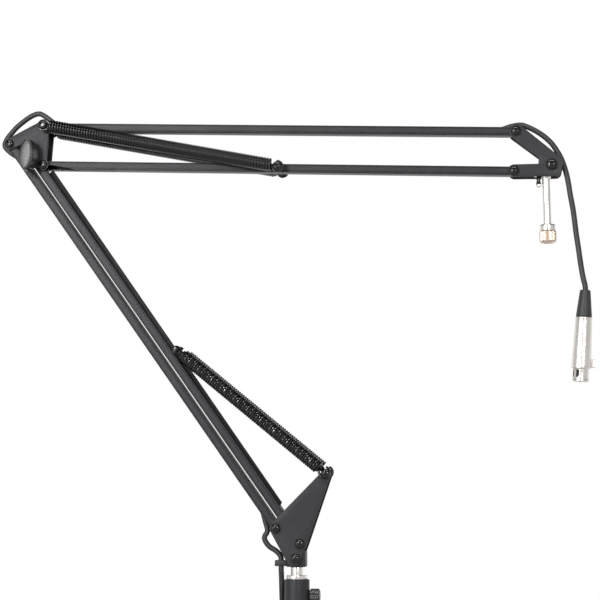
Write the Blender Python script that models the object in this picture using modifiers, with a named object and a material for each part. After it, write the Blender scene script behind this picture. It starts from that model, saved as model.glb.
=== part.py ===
"""A desk-clamp microphone stand: two sprung parallel-link arms, an elbow knob, a thread post and a cable with plugs.

+X runs along the upper arm, +Z is up, and the desk lies behind the clamp's spine, towards +Y. The origin is on the desk
top, under the clamp's pad, on the axis of the base post. Sizes below are in millimetres, and each mesh is made in metres.
"""

import math

import bmesh
import bpy
from mathutils import Matrix, Vector

for old in list(bpy.data.objects):
    bpy.data.objects.remove(old, do_unlink=True)

MM = 0.001
GAP = 0.3

# Arms: both parallel links of an arm are this long from pivot to pivot
ARM_LENGTH = 462.0
LOWER_SLOPE = math.radians(125.41)
UPPER_SLOPE = math.radians(-2.15)
TUBE_WIDTH = 8.2
TUBE_DEPTH = 14.0
TUBE_WALL = 1.0
PLATE = 2.0

# Pivots as (x, z)
BASE_OUTER = (-19.2, 98.3)
BASE_LINK = (23.3, -14.3)
ELBOW_TO_UPPER = (36.5, 16.3)
HEAD_LINK = (-2.0, -38.0)
HEAD_TO_POST = (33.3, -33.0)
BASE_SPRING = (29.3, 150.0)
LOWER_SPRING_FROM_TOP = 241.0
LOWER_SPRING_OFFSET = 8.6
UPPER_SPRING_FROM_ELBOW = 236.0

# Bolts
BOLT = 2.0
BOLT_CLEARANCE = 0.3
HEAD_RADIUS = 4.5
HEAD_HEIGHT = 3.2
NUT_RADIUS = 4.0
NUT_HEIGHT = 2.8
TURNED_STEPS = 12

# Springs
WIRE = 1.75
SPRING_RADIUS = 5.5
CURLS = 14
CURL_POINTS = 8
UPPER_SPRING_Y = 17.0
LOWER_SPRING_TOP_Y = 8.7
LOWER_SPRING_BASE_Y = 11.4

# Cable and its coil on the desk
CABLE = 5.2
COIL_TURNS = 8.25
COIL_POINTS = 24
COIL_PITCH = 5.9
COIL_OUTER = 38.2
COIL_CENTRE = (-56.0, 50.0)
COIL_LOW = 4.0
COIL_LAYER = 5.8

# Clamp
DESK_THICKNESS = 25.0
JAW_WIDTH = 22.0
POST_RADIUS = 6.0
BUSHING_WALL = 1.0
SCREW_RADIUS = 4.0


def along(point, angle, length):
    """The point (x, z) that lies this far off in the direction of the angle."""
    return (point[0] + length * math.cos(angle), point[1] + length * math.sin(angle))


def shifted(point, step):
    return (point[0] + step[0], point[1] + step[1])


BASE_INNER = shifted(BASE_OUTER, BASE_LINK)
ELBOW_OUTER = along(BASE_OUTER, LOWER_SLOPE, ARM_LENGTH)
ELBOW_INNER = shifted(ELBOW_OUTER, BASE_LINK)
UPPER_TOP = shifted(ELBOW_OUTER, ELBOW_TO_UPPER)
UPPER_BOTTOM = shifted(UPPER_TOP, HEAD_LINK)
HEAD_TOP = along(UPPER_TOP, UPPER_SLOPE, ARM_LENGTH)
HEAD_BOTTOM = shifted(HEAD_TOP, HEAD_LINK)
POST_PIVOT = shifted(HEAD_TOP, HEAD_TO_POST)
LOWER_SPRING = along(
    along(ELBOW_INNER, LOWER_SLOPE, -LOWER_SPRING_FROM_TOP),
    LOWER_SLOPE - math.pi / 2,
    LOWER_SPRING_OFFSET,
)
UPPER_SPRING = along(UPPER_BOTTOM, UPPER_SLOPE, UPPER_SPRING_FROM_ELBOW)

PLATE_IN = TUBE_DEPTH / 2 + GAP
PLATE_OUT = PLATE_IN + PLATE
HEAD_IN = PLATE_OUT + GAP

# Collections: one for the pieces, one for the shapes that cut or join them
PARTS = bpy.data.collections.new("microphone_stand")
HELPERS = bpy.data.collections.new("helpers")
bpy.context.scene.collection.children.link(PARTS)
bpy.context.scene.collection.children.link(HELPERS)


def make_material(name, colour, metallic, roughness):
    material = bpy.data.materials.new(name)
    material.use_nodes = True
    shader = material.node_tree.nodes["Principled BSDF"]
    shader.inputs["Base Color"].default_value = (*colour, 1)
    shader.inputs["Metallic"].default_value = metallic
    shader.inputs["Roughness"].default_value = roughness
    material.diffuse_color = (*colour, 1)
    return material


FINISHES = {
    "coat": ((0.05, 0.052, 0.058), 0.2, 0.45),
    "black_steel": ((0.02, 0.02, 0.022), 0.6, 0.25),
    "knob": ((0.07, 0.072, 0.076), 0.0, 0.45),
    "nickel": ((0.72, 0.68, 0.64), 1.0, 0.25),
    "brass": ((0.68, 0.52, 0.4), 1.0, 0.35),
    "rubber": ((0.025, 0.026, 0.028), 0.0, 0.7),
    "plastic": ((0.02, 0.02, 0.02), 0.0, 0.5),
}

# Bodies: an empty on the axis of the joint that carries each of them
AXES = {}
ORIGINS = {}


def make_body(name, origin, parent=None):
    empty = bpy.data.objects.new("axis_" + name, None)
    empty.empty_display_size = 0.01
    PARTS.objects.link(empty)
    AXES[name] = empty
    ORIGINS[name] = Vector(origin)
    empty.location = ORIGINS[name] * MM
    if parent:
        empty.parent = AXES[parent]
        empty.location = (ORIGINS[name] - ORIGINS[parent]) * MM


def place(mesh, name, body, finish, origin=(0, 0, 0), turn=(0, 0, 0)):
    """The mesh as a piece of the body, with its own material. The origin is in world millimetres."""
    obj = bpy.data.objects.new(name, mesh)
    PARTS.objects.link(obj)
    obj.parent = AXES[body]
    obj.location = (Vector(origin) - ORIGINS[body]) * MM
    obj.rotation_euler = turn
    obj.data.materials.clear()
    obj.data.materials.append(make_material(name, *FINISHES[finish]))
    return obj


def change(obj, mesh, operation="DIFFERENCE"):
    """Cuts the mesh from the piece or joins it on. The mesh is in the piece's own coordinates."""
    helper = bpy.data.objects.new(f"{obj.name}_{operation.lower()}_{len(obj.modifiers)}", mesh)
    HELPERS.objects.link(helper)
    helper.parent = obj.parent
    helper.location = obj.location
    helper.rotation_euler = obj.rotation_euler
    helper.hide_render = True
    helper.display_type = "WIRE"
    modifier = obj.modifiers.new(helper.name, "BOOLEAN")
    modifier.operation = operation
    modifier.solver = "EXACT"
    modifier.object = helper


# Plain shapes, as meshes in metres from sizes in millimetres
def mesh_from(shape, name):
    bmesh.ops.recalc_face_normals(shape, faces=shape.faces)
    mesh = bpy.data.meshes.new(name)
    shape.to_mesh(mesh)
    shape.free()
    return mesh


def box(low, high, name="box"):
    low, high = Vector(low) * MM, Vector(high) * MM
    shape = bmesh.new()
    bmesh.ops.create_cube(shape, size=1)
    size = high - low
    bmesh.ops.scale(shape, vec=size, verts=shape.verts)
    bmesh.ops.translate(shape, vec=(low + high) / 2, verts=shape.verts)
    return mesh_from(shape, name)


def rod(start, end, radius, sides=12, end_radius=None, twist=0.0, name="rod"):
    start, end = Vector(start) * MM, Vector(end) * MM
    end_radius = radius if end_radius is None else end_radius
    axis = end - start
    shape = bmesh.new()
    bmesh.ops.create_cone(
        shape,
        cap_ends=True,
        segments=sides,
        radius1=radius * MM,
        radius2=end_radius * MM,
        depth=axis.length,
    )
    turn = axis.to_track_quat("Z", "Y").to_matrix().to_4x4()
    spin = Matrix.Rotation(twist, 4, "Z")
    bmesh.ops.transform(shape, matrix=Matrix.Translation((start + end) / 2) @ turn @ spin, verts=shape.verts)
    return mesh_from(shape, name)


def circle(x, z, radius, sides=12):
    steps = [2 * math.pi * (k + 0.5) / sides for k in range(sides)]
    return [(x + radius * math.cos(a), z + radius * math.sin(a)) for a in steps]


def prism(outlines, low, high, name="prism"):
    """A flat outline with its holes in local x and z, thick from low to high along local y."""
    curve = bpy.data.curves.new(name, "CURVE")
    curve.dimensions = "2D"
    curve.fill_mode = "BOTH"
    curve.extrude = (high - low) / 2 * MM
    for outline in outlines:
        spline = curve.splines.new("POLY")
        spline.points.add(len(outline) - 1)
        for point, (x, z) in zip(spline.points, outline):
            point.co = (x * MM, z * MM, 0, 1)
        spline.use_cyclic_u = True
    holder = bpy.data.objects.new(name + "_outline", curve)
    bpy.context.scene.collection.objects.link(holder)
    bpy.context.view_layer.update()
    graph = bpy.context.evaluated_depsgraph_get()
    mesh = bpy.data.meshes.new_from_object(holder.evaluated_get(graph))
    bpy.data.objects.remove(holder, do_unlink=True)
    shape = bmesh.new()
    shape.from_mesh(mesh)
    bmesh.ops.remove_doubles(shape, verts=shape.verts, dist=1e-6)
    stand = Matrix.Translation((0, (low + high) / 2 * MM, 0)) @ Matrix.Rotation(math.pi / 2, 4, "X")
    bmesh.ops.transform(shape, matrix=stand, verts=shape.verts)
    return mesh_from(shape, name)


def belt(circles, step=math.radians(30)):
    """The outline that runs round the circles (x, z, radius, turn) counter-clockwise. Turn -1 is an inner fillet."""
    normals = []
    for i, (x0, z0, r0, t0) in enumerate(circles):
        x1, z1, r1, t1 = circles[(i + 1) % len(circles)]
        span = math.hypot(x1 - x0, z1 - z0)
        heading = math.atan2(z1 - z0, x1 - x0)
        normals.append(heading - math.acos((r0 * t0 - r1 * t1) / span))
    points = []
    for i, (x, z, r, turn) in enumerate(circles):
        start, end = normals[i - 1], normals[i]
        sweep = (end - start) % (2 * math.pi) if turn > 0 else -((start - end) % (2 * math.pi))
        steps = max(1, round(abs(sweep) / step))
        for k in range(steps + 1):
            angle = start + sweep * k / steps
            points.append((x + turn * r * math.cos(angle), z + turn * r * math.sin(angle)))
    return points


def turned(name, profile, body, finish, origin=(0, 0, 0), turn=(0, 0, 0), steps=TURNED_STEPS, ring=False):
    """A piece turned round its local z from (radius, height) points that run from the top down."""
    mesh = bpy.data.meshes.new(name)
    edges = [(k, k + 1) for k in range(len(profile) - 1)]
    if ring:
        edges.append((len(profile) - 1, 0))
    mesh.from_pydata([(r * MM, 0, z * MM) for r, z in profile], edges, [])
    obj = place(mesh, name, body, finish, origin, turn)
    screw = obj.modifiers.new("turn", "SCREW")
    screw.axis = "Z"
    screw.angle = 2 * math.pi
    screw.steps = steps
    screw.render_steps = steps
    screw.use_merge_vertices = True
    screw.merge_threshold = 1e-6
    screw.use_smooth_shade = False
    return obj


def smooth(points, step):
    """Points about this far apart on the smooth curve through the given ones."""
    points = [Vector(p) for p in points]
    padded = [2 * points[0] - points[1], *points, 2 * points[-1] - points[-2]]
    fine = []
    for k in range(len(points) - 1):
        a, b, c, d = padded[k : k + 4]
        for j in range(16):
            t = j / 16
            fine.append(
                0.5
                * (2 * b + (c - a) * t + (2 * a - 5 * b + 4 * c - d) * t * t + (3 * b - a - 3 * c + d) * t * t * t)
            )
    fine.append(points[-1])
    lengths = [0.0]
    for a, b in zip(fine, fine[1:]):
        lengths.append(lengths[-1] + (b - a).length)
    count = max(2, round(lengths[-1] / step))
    found = [fine[0]]
    k = 0
    for n in range(1, count):
        want = lengths[-1] * n / count
        while lengths[k + 1] < want:
            k += 1
        share = (want - lengths[k]) / (lengths[k + 1] - lengths[k])
        found.append(fine[k].lerp(fine[k + 1], share))
    return [*found, fine[-1]]


def tube(name, points, diameter, body, finish, resolution):
    """A round tube along world points, closed at both ends."""
    origin = ORIGINS[body]
    curve = bpy.data.curves.new(name, "CURVE")
    curve.dimensions = "3D"
    curve.bevel_depth = diameter / 2 * MM
    curve.bevel_resolution = resolution
    curve.use_fill_caps = True
    spline = curve.splines.new("POLY")
    spline.points.add(len(points) - 1)
    for point, place_at in zip(spline.points, points):
        point.co = (*((Vector(place_at) - origin) * MM), 1)
    return place(curve, name, body, finish, origin)


def cable(name, points, body):
    return tube(name, smooth(points, 2.2 * CABLE), CABLE, body, "rubber", 2)


def cable_in_two(route, near, first, second):
    """One smooth route as two pieces (name, body) with parallel ends, parted in the middle of the step nearest a point."""
    points = smooth(route, 2.2 * CABLE)
    middles = [(a + b) / 2 for a, b in zip(points, points[1:])]
    k = min(range(1, len(middles) - 1), key=lambda i: (middles[i] - Vector(near)).length)
    step = (points[k + 1] - points[k]).normalized() * GAP / 2
    tube(first[0], [*points[: k + 1], middles[k] - step], CABLE, first[1], "rubber", 2)
    tube(second[0], [middles[k] + step, *points[k + 1 :]], CABLE, second[1], "rubber", 2)


def least_gap(points, diameter):
    """The least gap between two runs of the tube that are more than three diameters apart along it."""
    lengths = [0.0]
    for a, b in zip(points, points[1:]):
        lengths.append(lengths[-1] + (b - a).length)
    least = math.inf
    for i, a in enumerate(points):
        for j in range(i + 1, len(points)):
            if lengths[j] - lengths[i] > 3 * diameter:
                least = min(least, (points[j] - a).length - diameter)
    return least


# Bolts lie along y with the head towards the front
def bolt(name, body, point, head_in=HEAD_IN, nut_in=HEAD_IN, sleeve=None, radius=HEAD_RADIUS, finish="black_steel"):
    """Button head, shank and lock nut. Sleeve is (radius, inner end, outer end) on both sides of the tube or plates."""
    top = head_in + HEAD_HEIGHT
    end = nut_in + NUT_HEIGHT + 0.8
    profile = [
        (0, top),
        (radius * 0.5, top - 0.15),
        (radius * 0.85, top - 0.9),
        (radius, top - 2.0),
        (radius, head_in),
        (BOLT, head_in),
    ]
    if sleeve:
        wide, near, far = sleeve
        profile += [(BOLT, far), (wide, far), (wide, near), (BOLT, near)]
        profile += [(BOLT, -near), (wide, -near), (wide, -far), (BOLT, -far)]
    profile += [(BOLT, -end), (0, -end)]
    obj = turned(name, profile, body, finish, (point[0], 0, point[1]), (math.pi / 2, 0, 0), 10)
    change(obj, rod((0, 0, -nut_in), (0, 0, -nut_in - NUT_HEIGHT), NUT_RADIUS, 6), "UNION")
    change(obj, rod((0, 0, top - 1.7), (0, 0, top + 1), radius * 0.36, 6))
    return obj


def plate(name, body, circles, holes, side):
    """One of the two flat plates of a body. Side is -1 for the front plate and 1 for the rear one."""
    low, high = sorted((side * PLATE_IN, side * PLATE_OUT))
    outlines = [belt(circles)]
    outlines += [circle(x, z, BOLT + BOLT_CLEARANCE) for x, z in holes]
    return place(prism(outlines, low, high, name), name, body, "coat")


def arm_tube(name, body, point, slope, holes=()):
    """A flat-sided arm tube from the point to its other pivot. Its local x runs along it."""
    half = TUBE_WIDTH / 2
    outlines = [belt([(0, 0, half, 1), (ARM_LENGTH, 0, half, 1)])]
    for x in (0, ARM_LENGTH, *holes):
        outlines.append(circle(x, 0, BOLT + BOLT_CLEARANCE))
    depth = TUBE_DEPTH / 2
    mesh = prism(outlines, -depth, depth, name)
    obj = place(mesh, name, body, "coat", (point[0], 0, point[1]), (0, -slope, 0))
    inner = half - TUBE_WALL
    change(obj, box((-10, TUBE_WALL - depth, -inner), (ARM_LENGTH + 10, depth - TUBE_WALL, inner)))
    return obj


# Bodies
make_body("clamp", (0, 0, 0))
make_body("foot", (0, 0, -DESK_THICKNESS), "clamp")
make_body("screw", (0, 0, -DESK_THICKNESS), "foot")
make_body("bar", (0, 0, -112), "screw")
make_body("lock_screw", (0, 0, 35), "clamp")
make_body("base", (0, 0, 50), "clamp")
make_body("lower_outer", (BASE_OUTER[0], 0, BASE_OUTER[1]), "base")
make_body("lower_inner", (BASE_INNER[0], 0, BASE_INNER[1]), "base")
make_body("elbow", (ELBOW_OUTER[0], 0, ELBOW_OUTER[1]), "lower_outer")
make_body("knob", (ELBOW_INNER[0], 0, ELBOW_INNER[1]), "elbow")
make_body("upper_top", (UPPER_TOP[0], 0, UPPER_TOP[1]), "elbow")
make_body("upper_bottom", (UPPER_BOTTOM[0], 0, UPPER_BOTTOM[1]), "elbow")
make_body("head", (HEAD_TOP[0], 0, HEAD_TOP[1]), "upper_top")
make_body("post", (POST_PIVOT[0], 0, POST_PIVOT[1]), "head")

# Clamp: frame with a socket boss, pad, bushing, lock screw
WIDE = JAW_WIDTH / 2
BORE = POST_RADIUS + BUSHING_WALL + 2 * GAP
JAW_LOW = 2.3
JAW_HIGH = 10.3
BOSS_TOP = 50.0
LOWER_JAW = (-72.0, -62.0)
frame_outline = [
    (-36, LOWER_JAW[0] + 2),
    (-34, LOWER_JAW[0]),
    (12, LOWER_JAW[0]),
    (12, LOWER_JAW[1]),
    (-25, LOWER_JAW[1]),
    (-27, LOWER_JAW[1] + 2),
    (-27, JAW_LOW - 2),
    (-25, JAW_LOW),
    (16, JAW_LOW),
    (16, JAW_HIGH),
    (-34, JAW_HIGH),
    (-36, JAW_HIGH - 2),
]
frame = place(prism([frame_outline], -WIDE, WIDE), "clamp_frame", "clamp", "coat", (0, 0, 0), (0, 0, math.pi / 2))
frame_turn = Matrix.Rotation(-math.pi / 2, 4, "Z")


def change_frame(mesh, operation="DIFFERENCE"):
    mesh.transform(frame_turn)
    change(frame, mesh, operation)


change_frame(rod((0, 0, JAW_LOW + 1), (0, 0, BOSS_TOP), 12, 24), "UNION")
change_frame(rod((0, 0, 12), (0, 0, BOSS_TOP + 1), BORE, 20))
change_frame(rod((0, 0, LOWER_JAW[0] - 1), (0, 0, LOWER_JAW[1] + 1), SCREW_RADIUS + GAP, 16))
change_frame(rod((5, 0, 35), (14, 0, 35), BOLT + BOLT_CLEARANCE, 12))
place(box((-WIDE, -14, 0), (WIDE, 14, JAW_LOW - GAP)), "clamp_top_pad", "clamp", "rubber")
bushing_out = POST_RADIUS + GAP + BUSHING_WALL
bushing = turned(
    "socket_bushing",
    [(POST_RADIUS + GAP, BOSS_TOP), (bushing_out, BOSS_TOP), (bushing_out, 12.3), (POST_RADIUS + GAP, 12.3)],
    "clamp",
    "plastic",
    steps=20,
    ring=True,
)
change(bushing, rod((5, 0, 35), (14, 0, 35), BOLT + BOLT_CLEARANCE, 12))

# Clamp screw with its foot and sliding bar, and the thumb screw that locks the post
turned(
    "clamp_foot",
    [
        (0, -25),
        (10, -25),
        (11, -26),
        (11, -31),
        (SCREW_RADIUS + GAP, -31),
        (SCREW_RADIUS + GAP, -27.7),
        (0, -27.7),
    ],
    "foot",
    "rubber",
    steps=20,
)
screw = turned(
    "clamp_screw",
    [
        (0, -28),
        (SCREW_RADIUS, -28),
        (SCREW_RADIUS, -104),
        (5.5, -105),
        (5.5, -118.5),
        (4.5, -119.5),
        (0, -119.5),
    ],
    "screw",
    "nickel",
    steps=16,
)
change(screw, rod((-8, 0, -112), (8, 0, -112), 2.8, 12))
bar = place(rod((-30, 0, 0), (30, 0, 0), 2.5, 12), "clamp_handle_bar", "bar", "nickel", (0, 0, -112))
for x in (-30, 30):
    change(bar, rod((x - 2.5, 0, 0), (x + 2.5, 0, 0), 4, 12), "UNION")
lock = turned(
    "socket_lock_screw",
    [(0, 22), (5, 22), (6.5, 21), (6.5, 13.5), (5.5, 12.5), (BOLT, 12.5), (BOLT, 6.4), (0, 6.4)],
    "lock_screw",
    "knob",
    (0, 0, 35),
    (0, math.pi / 2, 0),
    steps=12,
)

# Base: post, block, plates and bolts
turned(
    "base_post",
    [
        (0, 61.7),
        (POST_RADIUS, 61.7),
        (POST_RADIUS, 54),
        (10, 54),
        (10, BOSS_TOP + GAP),
        (POST_RADIUS, BOSS_TOP + GAP),
        (POST_RADIUS, 12.9),
        (5.4, 12.3),
        (0, 12.3),
    ],
    "base",
    "nickel",
    steps=20,
)
BLOCK_BOLT = (0.0, 70.0)
depth = TUBE_DEPTH / 2
block = place(
    prism([[(-9, 62), (9, 62), (9, 77), (-9, 77)], circle(*BLOCK_BOLT, BOLT + BOLT_CLEARANCE)], -depth, depth),
    "base_block",
    "base",
    "coat",
)
base_circles = [
    (*BASE_OUTER, 6.0, 1),
    (-2.0, 68.0, 6.5, 1),
    (*BASE_INNER, 6.5, 1),
    (*BASE_SPRING, 4.2, 1),
]
base_holes = [BASE_OUTER, BASE_INNER, BASE_SPRING, BLOCK_BOLT]
plate("base_plate_front", "base", base_circles, base_holes, -1)
plate("base_plate_rear", "base", base_circles, base_holes, 1)
bolt("base_block_bolt", "base", BLOCK_BOLT)
bolt("base_bolt_outer", "base", BASE_OUTER)
bolt("base_bolt_inner", "base", BASE_INNER)
LOWER_RING_HEAD = LOWER_SPRING_BASE_Y + WIRE / 2 + 0.35
bolt("base_spring_bolt", "base", BASE_SPRING, LOWER_RING_HEAD, LOWER_RING_HEAD)

# Lower arm. Local z of the outer tube points to the photo's lower left for a turn of -slope, so its slots face -z
lower_outer = arm_tube("lower_outer_tube", "lower_outer", BASE_OUTER, LOWER_SLOPE)
SLOT = 32.0
for start, end in ((-8, SLOT), (ARM_LENGTH - SLOT, ARM_LENGTH + 8)):
    change(lower_outer, box((start, -3.1, 2), (end, 3.1, 6)))
lower_inner = arm_tube("lower_inner_tube", "lower_inner", BASE_INNER, LOWER_SLOPE)
RAIL_Y = (-1.7, -0.4)
LUG_Y = (-1.9, -0.25)
RAIL_ENDS = ((40.0, 3.2), (ARM_LENGTH - 21.0, 5.0))
edge = TUBE_WIDTH / 2
rail_points = [
    (RAIL_ENDS[0][0], -edge + 0.5),
    (RAIL_ENDS[0][0], -edge - RAIL_ENDS[0][1]),
    (RAIL_ENDS[1][0], -edge - RAIL_ENDS[1][1]),
    (RAIL_ENDS[1][0], -edge + 0.5),
]
pin_x = ARM_LENGTH - LOWER_SPRING_FROM_TOP
change(lower_inner, prism([rail_points], *RAIL_Y), "UNION")
change(lower_inner, prism([circle(pin_x, -LOWER_SPRING_OFFSET, 3.2)], *LUG_Y), "UNION")
change(lower_inner, prism([circle(pin_x, -LOWER_SPRING_OFFSET, 1.5)], -3, 3))
LAP_REAR = [(9, -14), (9, 9), (-30, 9), (-30, -1.2), (-55, -4.5), (-55, -14)]
change(lower_inner, prism([[(ARM_LENGTH + x, z) for x, z in LAP_REAR]], -0.2, 9))
turn_back = Matrix.Rotation(-LOWER_SLOPE, 2)
relief = turn_back @ (Vector(UPPER_BOTTOM) - Vector(BASE_INNER))
change(lower_inner, prism([circle(relief.x, relief.y, 3.8)], -9, 9))
PIN_HEAD = LOWER_SPRING_TOP_Y + WIRE / 2 + 0.35
pin_profile = [(0, PIN_HEAD + 0.8), (2.2, PIN_HEAD + 0.8), (2.2, PIN_HEAD), (1.2, PIN_HEAD)]
pin_profile += [(radius, -z) for radius, z in reversed(pin_profile)]
turned(
    "lower_spring_pin",
    pin_profile,
    "lower_inner",
    "black_steel",
    (LOWER_SPRING[0], 0, LOWER_SPRING[1]),
    (math.pi / 2, 0, 0),
    steps=8,
)

# Elbow plates, bolts and knob
elbow_circles = [
    (*ELBOW_OUTER, 5.7, 1),
    (ELBOW_OUTER[0] + 14.0, ELBOW_OUTER[1] - 3.2, 3.0, -1),
    (*ELBOW_INNER, 6.0, 1),
    (UPPER_BOTTOM[0] - 1.6, UPPER_BOTTOM[1], 4.9, 1),
    (UPPER_TOP[0] - 2.2, UPPER_TOP[1], 6.4, 1),
]
elbow_holes = [ELBOW_OUTER, ELBOW_INNER, UPPER_BOTTOM, UPPER_TOP]
plate("elbow_plate_front", "elbow", elbow_circles, elbow_holes, -1)
plate("elbow_plate_rear", "elbow", elbow_circles, elbow_holes, 1)
bolt("elbow_bolt_lower", "elbow", ELBOW_OUTER)
bolt("elbow_bolt_bottom", "elbow", UPPER_BOTTOM)
SLEEVE = 3.4
UPPER_RING = SLEEVE + WIRE / 2 + 2 * GAP
RING_HEAD = UPPER_SPRING_Y + WIRE / 2 + 0.55
SLEEVE_END = RING_HEAD - 0.2
bolt("elbow_bolt_upper", "elbow", UPPER_TOP, RING_HEAD, RING_HEAD, (SLEEVE, HEAD_IN, SLEEVE_END))
knob_bolt_profile = [
    (0, 24),
    (BOLT, 24),
    (BOLT, -HEAD_IN),
    (HEAD_RADIUS, -HEAD_IN),
    (HEAD_RADIUS, -HEAD_IN - 1.8),
    (3.2, -HEAD_IN - 3),
    (0, -HEAD_IN - 3.2),
]
knob_at = (ELBOW_INNER[0], 0, ELBOW_INNER[1])
turned("elbow_knob_bolt", knob_bolt_profile, "elbow", "black_steel", knob_at, (math.pi / 2, 0, 0), 12)

KNOB_LEAN = math.radians(5.5)


def knob_shape():
    """A wing knob: rings of an oval that narrows towards its face, from the hub outwards along -y."""
    rings = ((-14.0, 17.4, 29.0), (-18.0, 17.8, 31.0), (-28.0, 14.2, 31.4), (-30.0, 12.9, 30.4), (-30.4, 9.5, 26.0))
    count = 18
    lean = Matrix.Rotation(KNOB_LEAN, 3, "Y")
    shape = bmesh.new()
    loops = []
    for y, wide, tall in rings:
        loop = []
        for k in range(count):
            angle = 2 * math.pi * k / count
            loop.append(shape.verts.new(lean @ Vector((wide / 2 * math.cos(angle), y, tall / 2 * math.sin(angle))) * MM))
        loops.append(loop)
    for low, high in zip(loops, loops[1:]):
        for k in range(count):
            shape.faces.new((low[k], low[(k + 1) % count], high[(k + 1) % count], high[k]))
    shape.faces.new(loops[0][::-1])
    shape.faces.new(loops[-1])
    return mesh_from(shape, "knob_wing")


knob = place(knob_shape(), "elbow_knob", "knob", "knob", knob_at)
change(knob, rod((0, -HEAD_IN - GAP, 0), (0, -15, 0), 7.8, 18), "UNION")
change(knob, rod((0, -HEAD_IN + 1, 0), (0, -24.5, 0), BOLT + BOLT_CLEARANCE, 12))

# Upper arm
upper_top = arm_tube("upper_top_tube", "upper_top", UPPER_TOP, UPPER_SLOPE)
for start, end in ((-8, SLOT), (ARM_LENGTH - SLOT, ARM_LENGTH + 8)):
    change(upper_top, box((start, -3.1, 2), (end, 3.1, 6)))
upper_bottom = arm_tube("upper_bottom_tube", "upper_bottom", UPPER_BOTTOM, UPPER_SLOPE, (UPPER_SPRING_FROM_ELBOW,))
# The front half is open where the inner lower tube and its rail pass, at any pair of angles of the two arms
LAP_FRONT = [(-9, -9), (-9, 9), (2.2, 9), (2.2, 1.0), (40, -4.7), (40, -9)]
RAIL_SLOT = [(7.2, -9), (7.2, 9), (9.5, 9), (9.5, 4.9), (78, -4.7), (78, -9)]
change(upper_bottom, prism([LAP_FRONT], -9, 0.2))
change(upper_bottom, prism([RAIL_SLOT], RAIL_Y[0] - GAP, 0.2))
bolt("upper_spring_bolt", "upper_bottom", UPPER_SPRING, RING_HEAD, RING_HEAD, (SLEEVE, depth + GAP, SLEEVE_END))


# Springs: a hook ring, the curls, a hook ring
def spring_path(start, end, rings, pins):
    start, end = Vector(start), Vector(end)
    run = (end - start).normalized()
    side = run.cross(Vector((0, 1, 0))).normalized()
    deep = run.cross(side)
    centres = []
    for anchor, ring, pin, toward in zip((start, end), rings, pins, (1, -1)):
        slack = ring - WIRE / 2 - pin - GAP
        centres.append(anchor + run * toward * slack)
    points = []
    for k in range(8):
        angle = math.radians(70 + 290 * k / 8)
        points.append(centres[0] + rings[0] * (math.cos(angle) * run + math.sin(angle) * side))
    first = centres[0] + run * rings[0]
    last = centres[1] - run * rings[1]
    count = CURLS * CURL_POINTS
    ramp = 0.75 * CURL_POINTS
    for k in range(count + 1):
        angle = 2 * math.pi * k / CURL_POINTS
        radius = SPRING_RADIUS * min(1, k / ramp, (count - k) / ramp)
        points.append(first.lerp(last, k / count) + radius * (math.cos(angle) * side + math.sin(angle) * deep))
    for k in range(1, 9):
        angle = math.radians(180 + 290 * k / 8)
        points.append(centres[1] + rings[1] * (math.cos(angle) * run + math.sin(angle) * side))
    return points


def spring(name, body, start, end, rings, pins):
    points = spring_path(start, end, rings, pins)
    print(f"{name}: least gap {least_gap(points, WIRE):.2f} mm")
    tube(name, points, WIRE, body, "black_steel", 1)


for place_name, side in (("front", -1), ("rear", 1)):
    spring(
        "upper_spring_" + place_name,
        "upper_bottom",
        (UPPER_TOP[0], side * UPPER_SPRING_Y, UPPER_TOP[1]),
        (UPPER_SPRING[0], side * UPPER_SPRING_Y, UPPER_SPRING[1]),
        (UPPER_RING, UPPER_RING),
        (SLEEVE, SLEEVE),
    )
    spring(
        "lower_spring_" + place_name,
        "lower_inner",
        (LOWER_SPRING[0], side * LOWER_SPRING_TOP_Y, LOWER_SPRING[1]),
        (BASE_SPRING[0], side * LOWER_SPRING_BASE_Y, BASE_SPRING[1]),
        (3.1, 5.2),
        (1.2, BOLT),
    )

# Head plates and bolts
HEAD_OUTLINE = [
    (-0.9, -1.1, 5.5, 1),
    (20.15, -25.6, 0.8, -1),
    (20.15, -31.4, 0.8, -1),
    (*HEAD_LINK, 5.8, 1),
    (36.9, -38.9, 5.4, 1),
    (37.0, -31.6, 6.9, 1),
    (0.9, 1.2, 5.5, 1),
]
head_circles = [(HEAD_TOP[0] + x, HEAD_TOP[1] + z, radius, turn) for x, z, radius, turn in HEAD_OUTLINE]
head_holes = [HEAD_TOP, HEAD_BOTTOM, POST_PIVOT]
plate("head_plate_front", "head", head_circles, head_holes, -1)
plate("head_plate_rear", "head", head_circles, head_holes, 1)
bolt("head_bolt_top", "head", HEAD_TOP)
bolt("head_bolt_bottom", "head", HEAD_BOTTOM)
bolt("head_main_bolt", "head", POST_PIVOT, radius=5.1)
STOP_FROM_HEAD = 20.7
HEAD_EDGE = HEAD_TOP[1] - 43.8
stop_screw = turned(
    "head_stop_screw",
    [(0, 1), (1.9, 1), (1.9, -5.2), (2.4, -5.6), (2.4, -8.3), (1.6, -9.6), (0, -9.8)],
    "head",
    "black_steel",
    (HEAD_TOP[0] + STOP_FROM_HEAD, 0, HEAD_EDGE),
    steps=12,
)
change(stop_screw, box((-4.2, -depth, 0.2), (1.2, depth, 6)), "UNION")

# Microphone post: an eye between the plates, a shoulder and the leaning shaft, and the threaded end
POST_LEAN = math.radians(1.15)
SHAFT_FROM_PIVOT = -5.6
SHAFT_TOP = -11.8
SHAFT_LENGTH = 50.0
post = place(
    prism([circle(0, 0, 6.6, 18), circle(0, 0, BOLT + BOLT_CLEARANCE)], -5, 5),
    "mic_post",
    "post",
    "nickel",
    (POST_PIVOT[0], 0, POST_PIVOT[1]),
)


def down_post(distance):
    """The point this far down the post's shaft, from the pivot."""
    x = SHAFT_FROM_PIVOT + distance * math.sin(POST_LEAN)
    return (x, 0, SHAFT_TOP - distance * math.cos(POST_LEAN))


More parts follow.
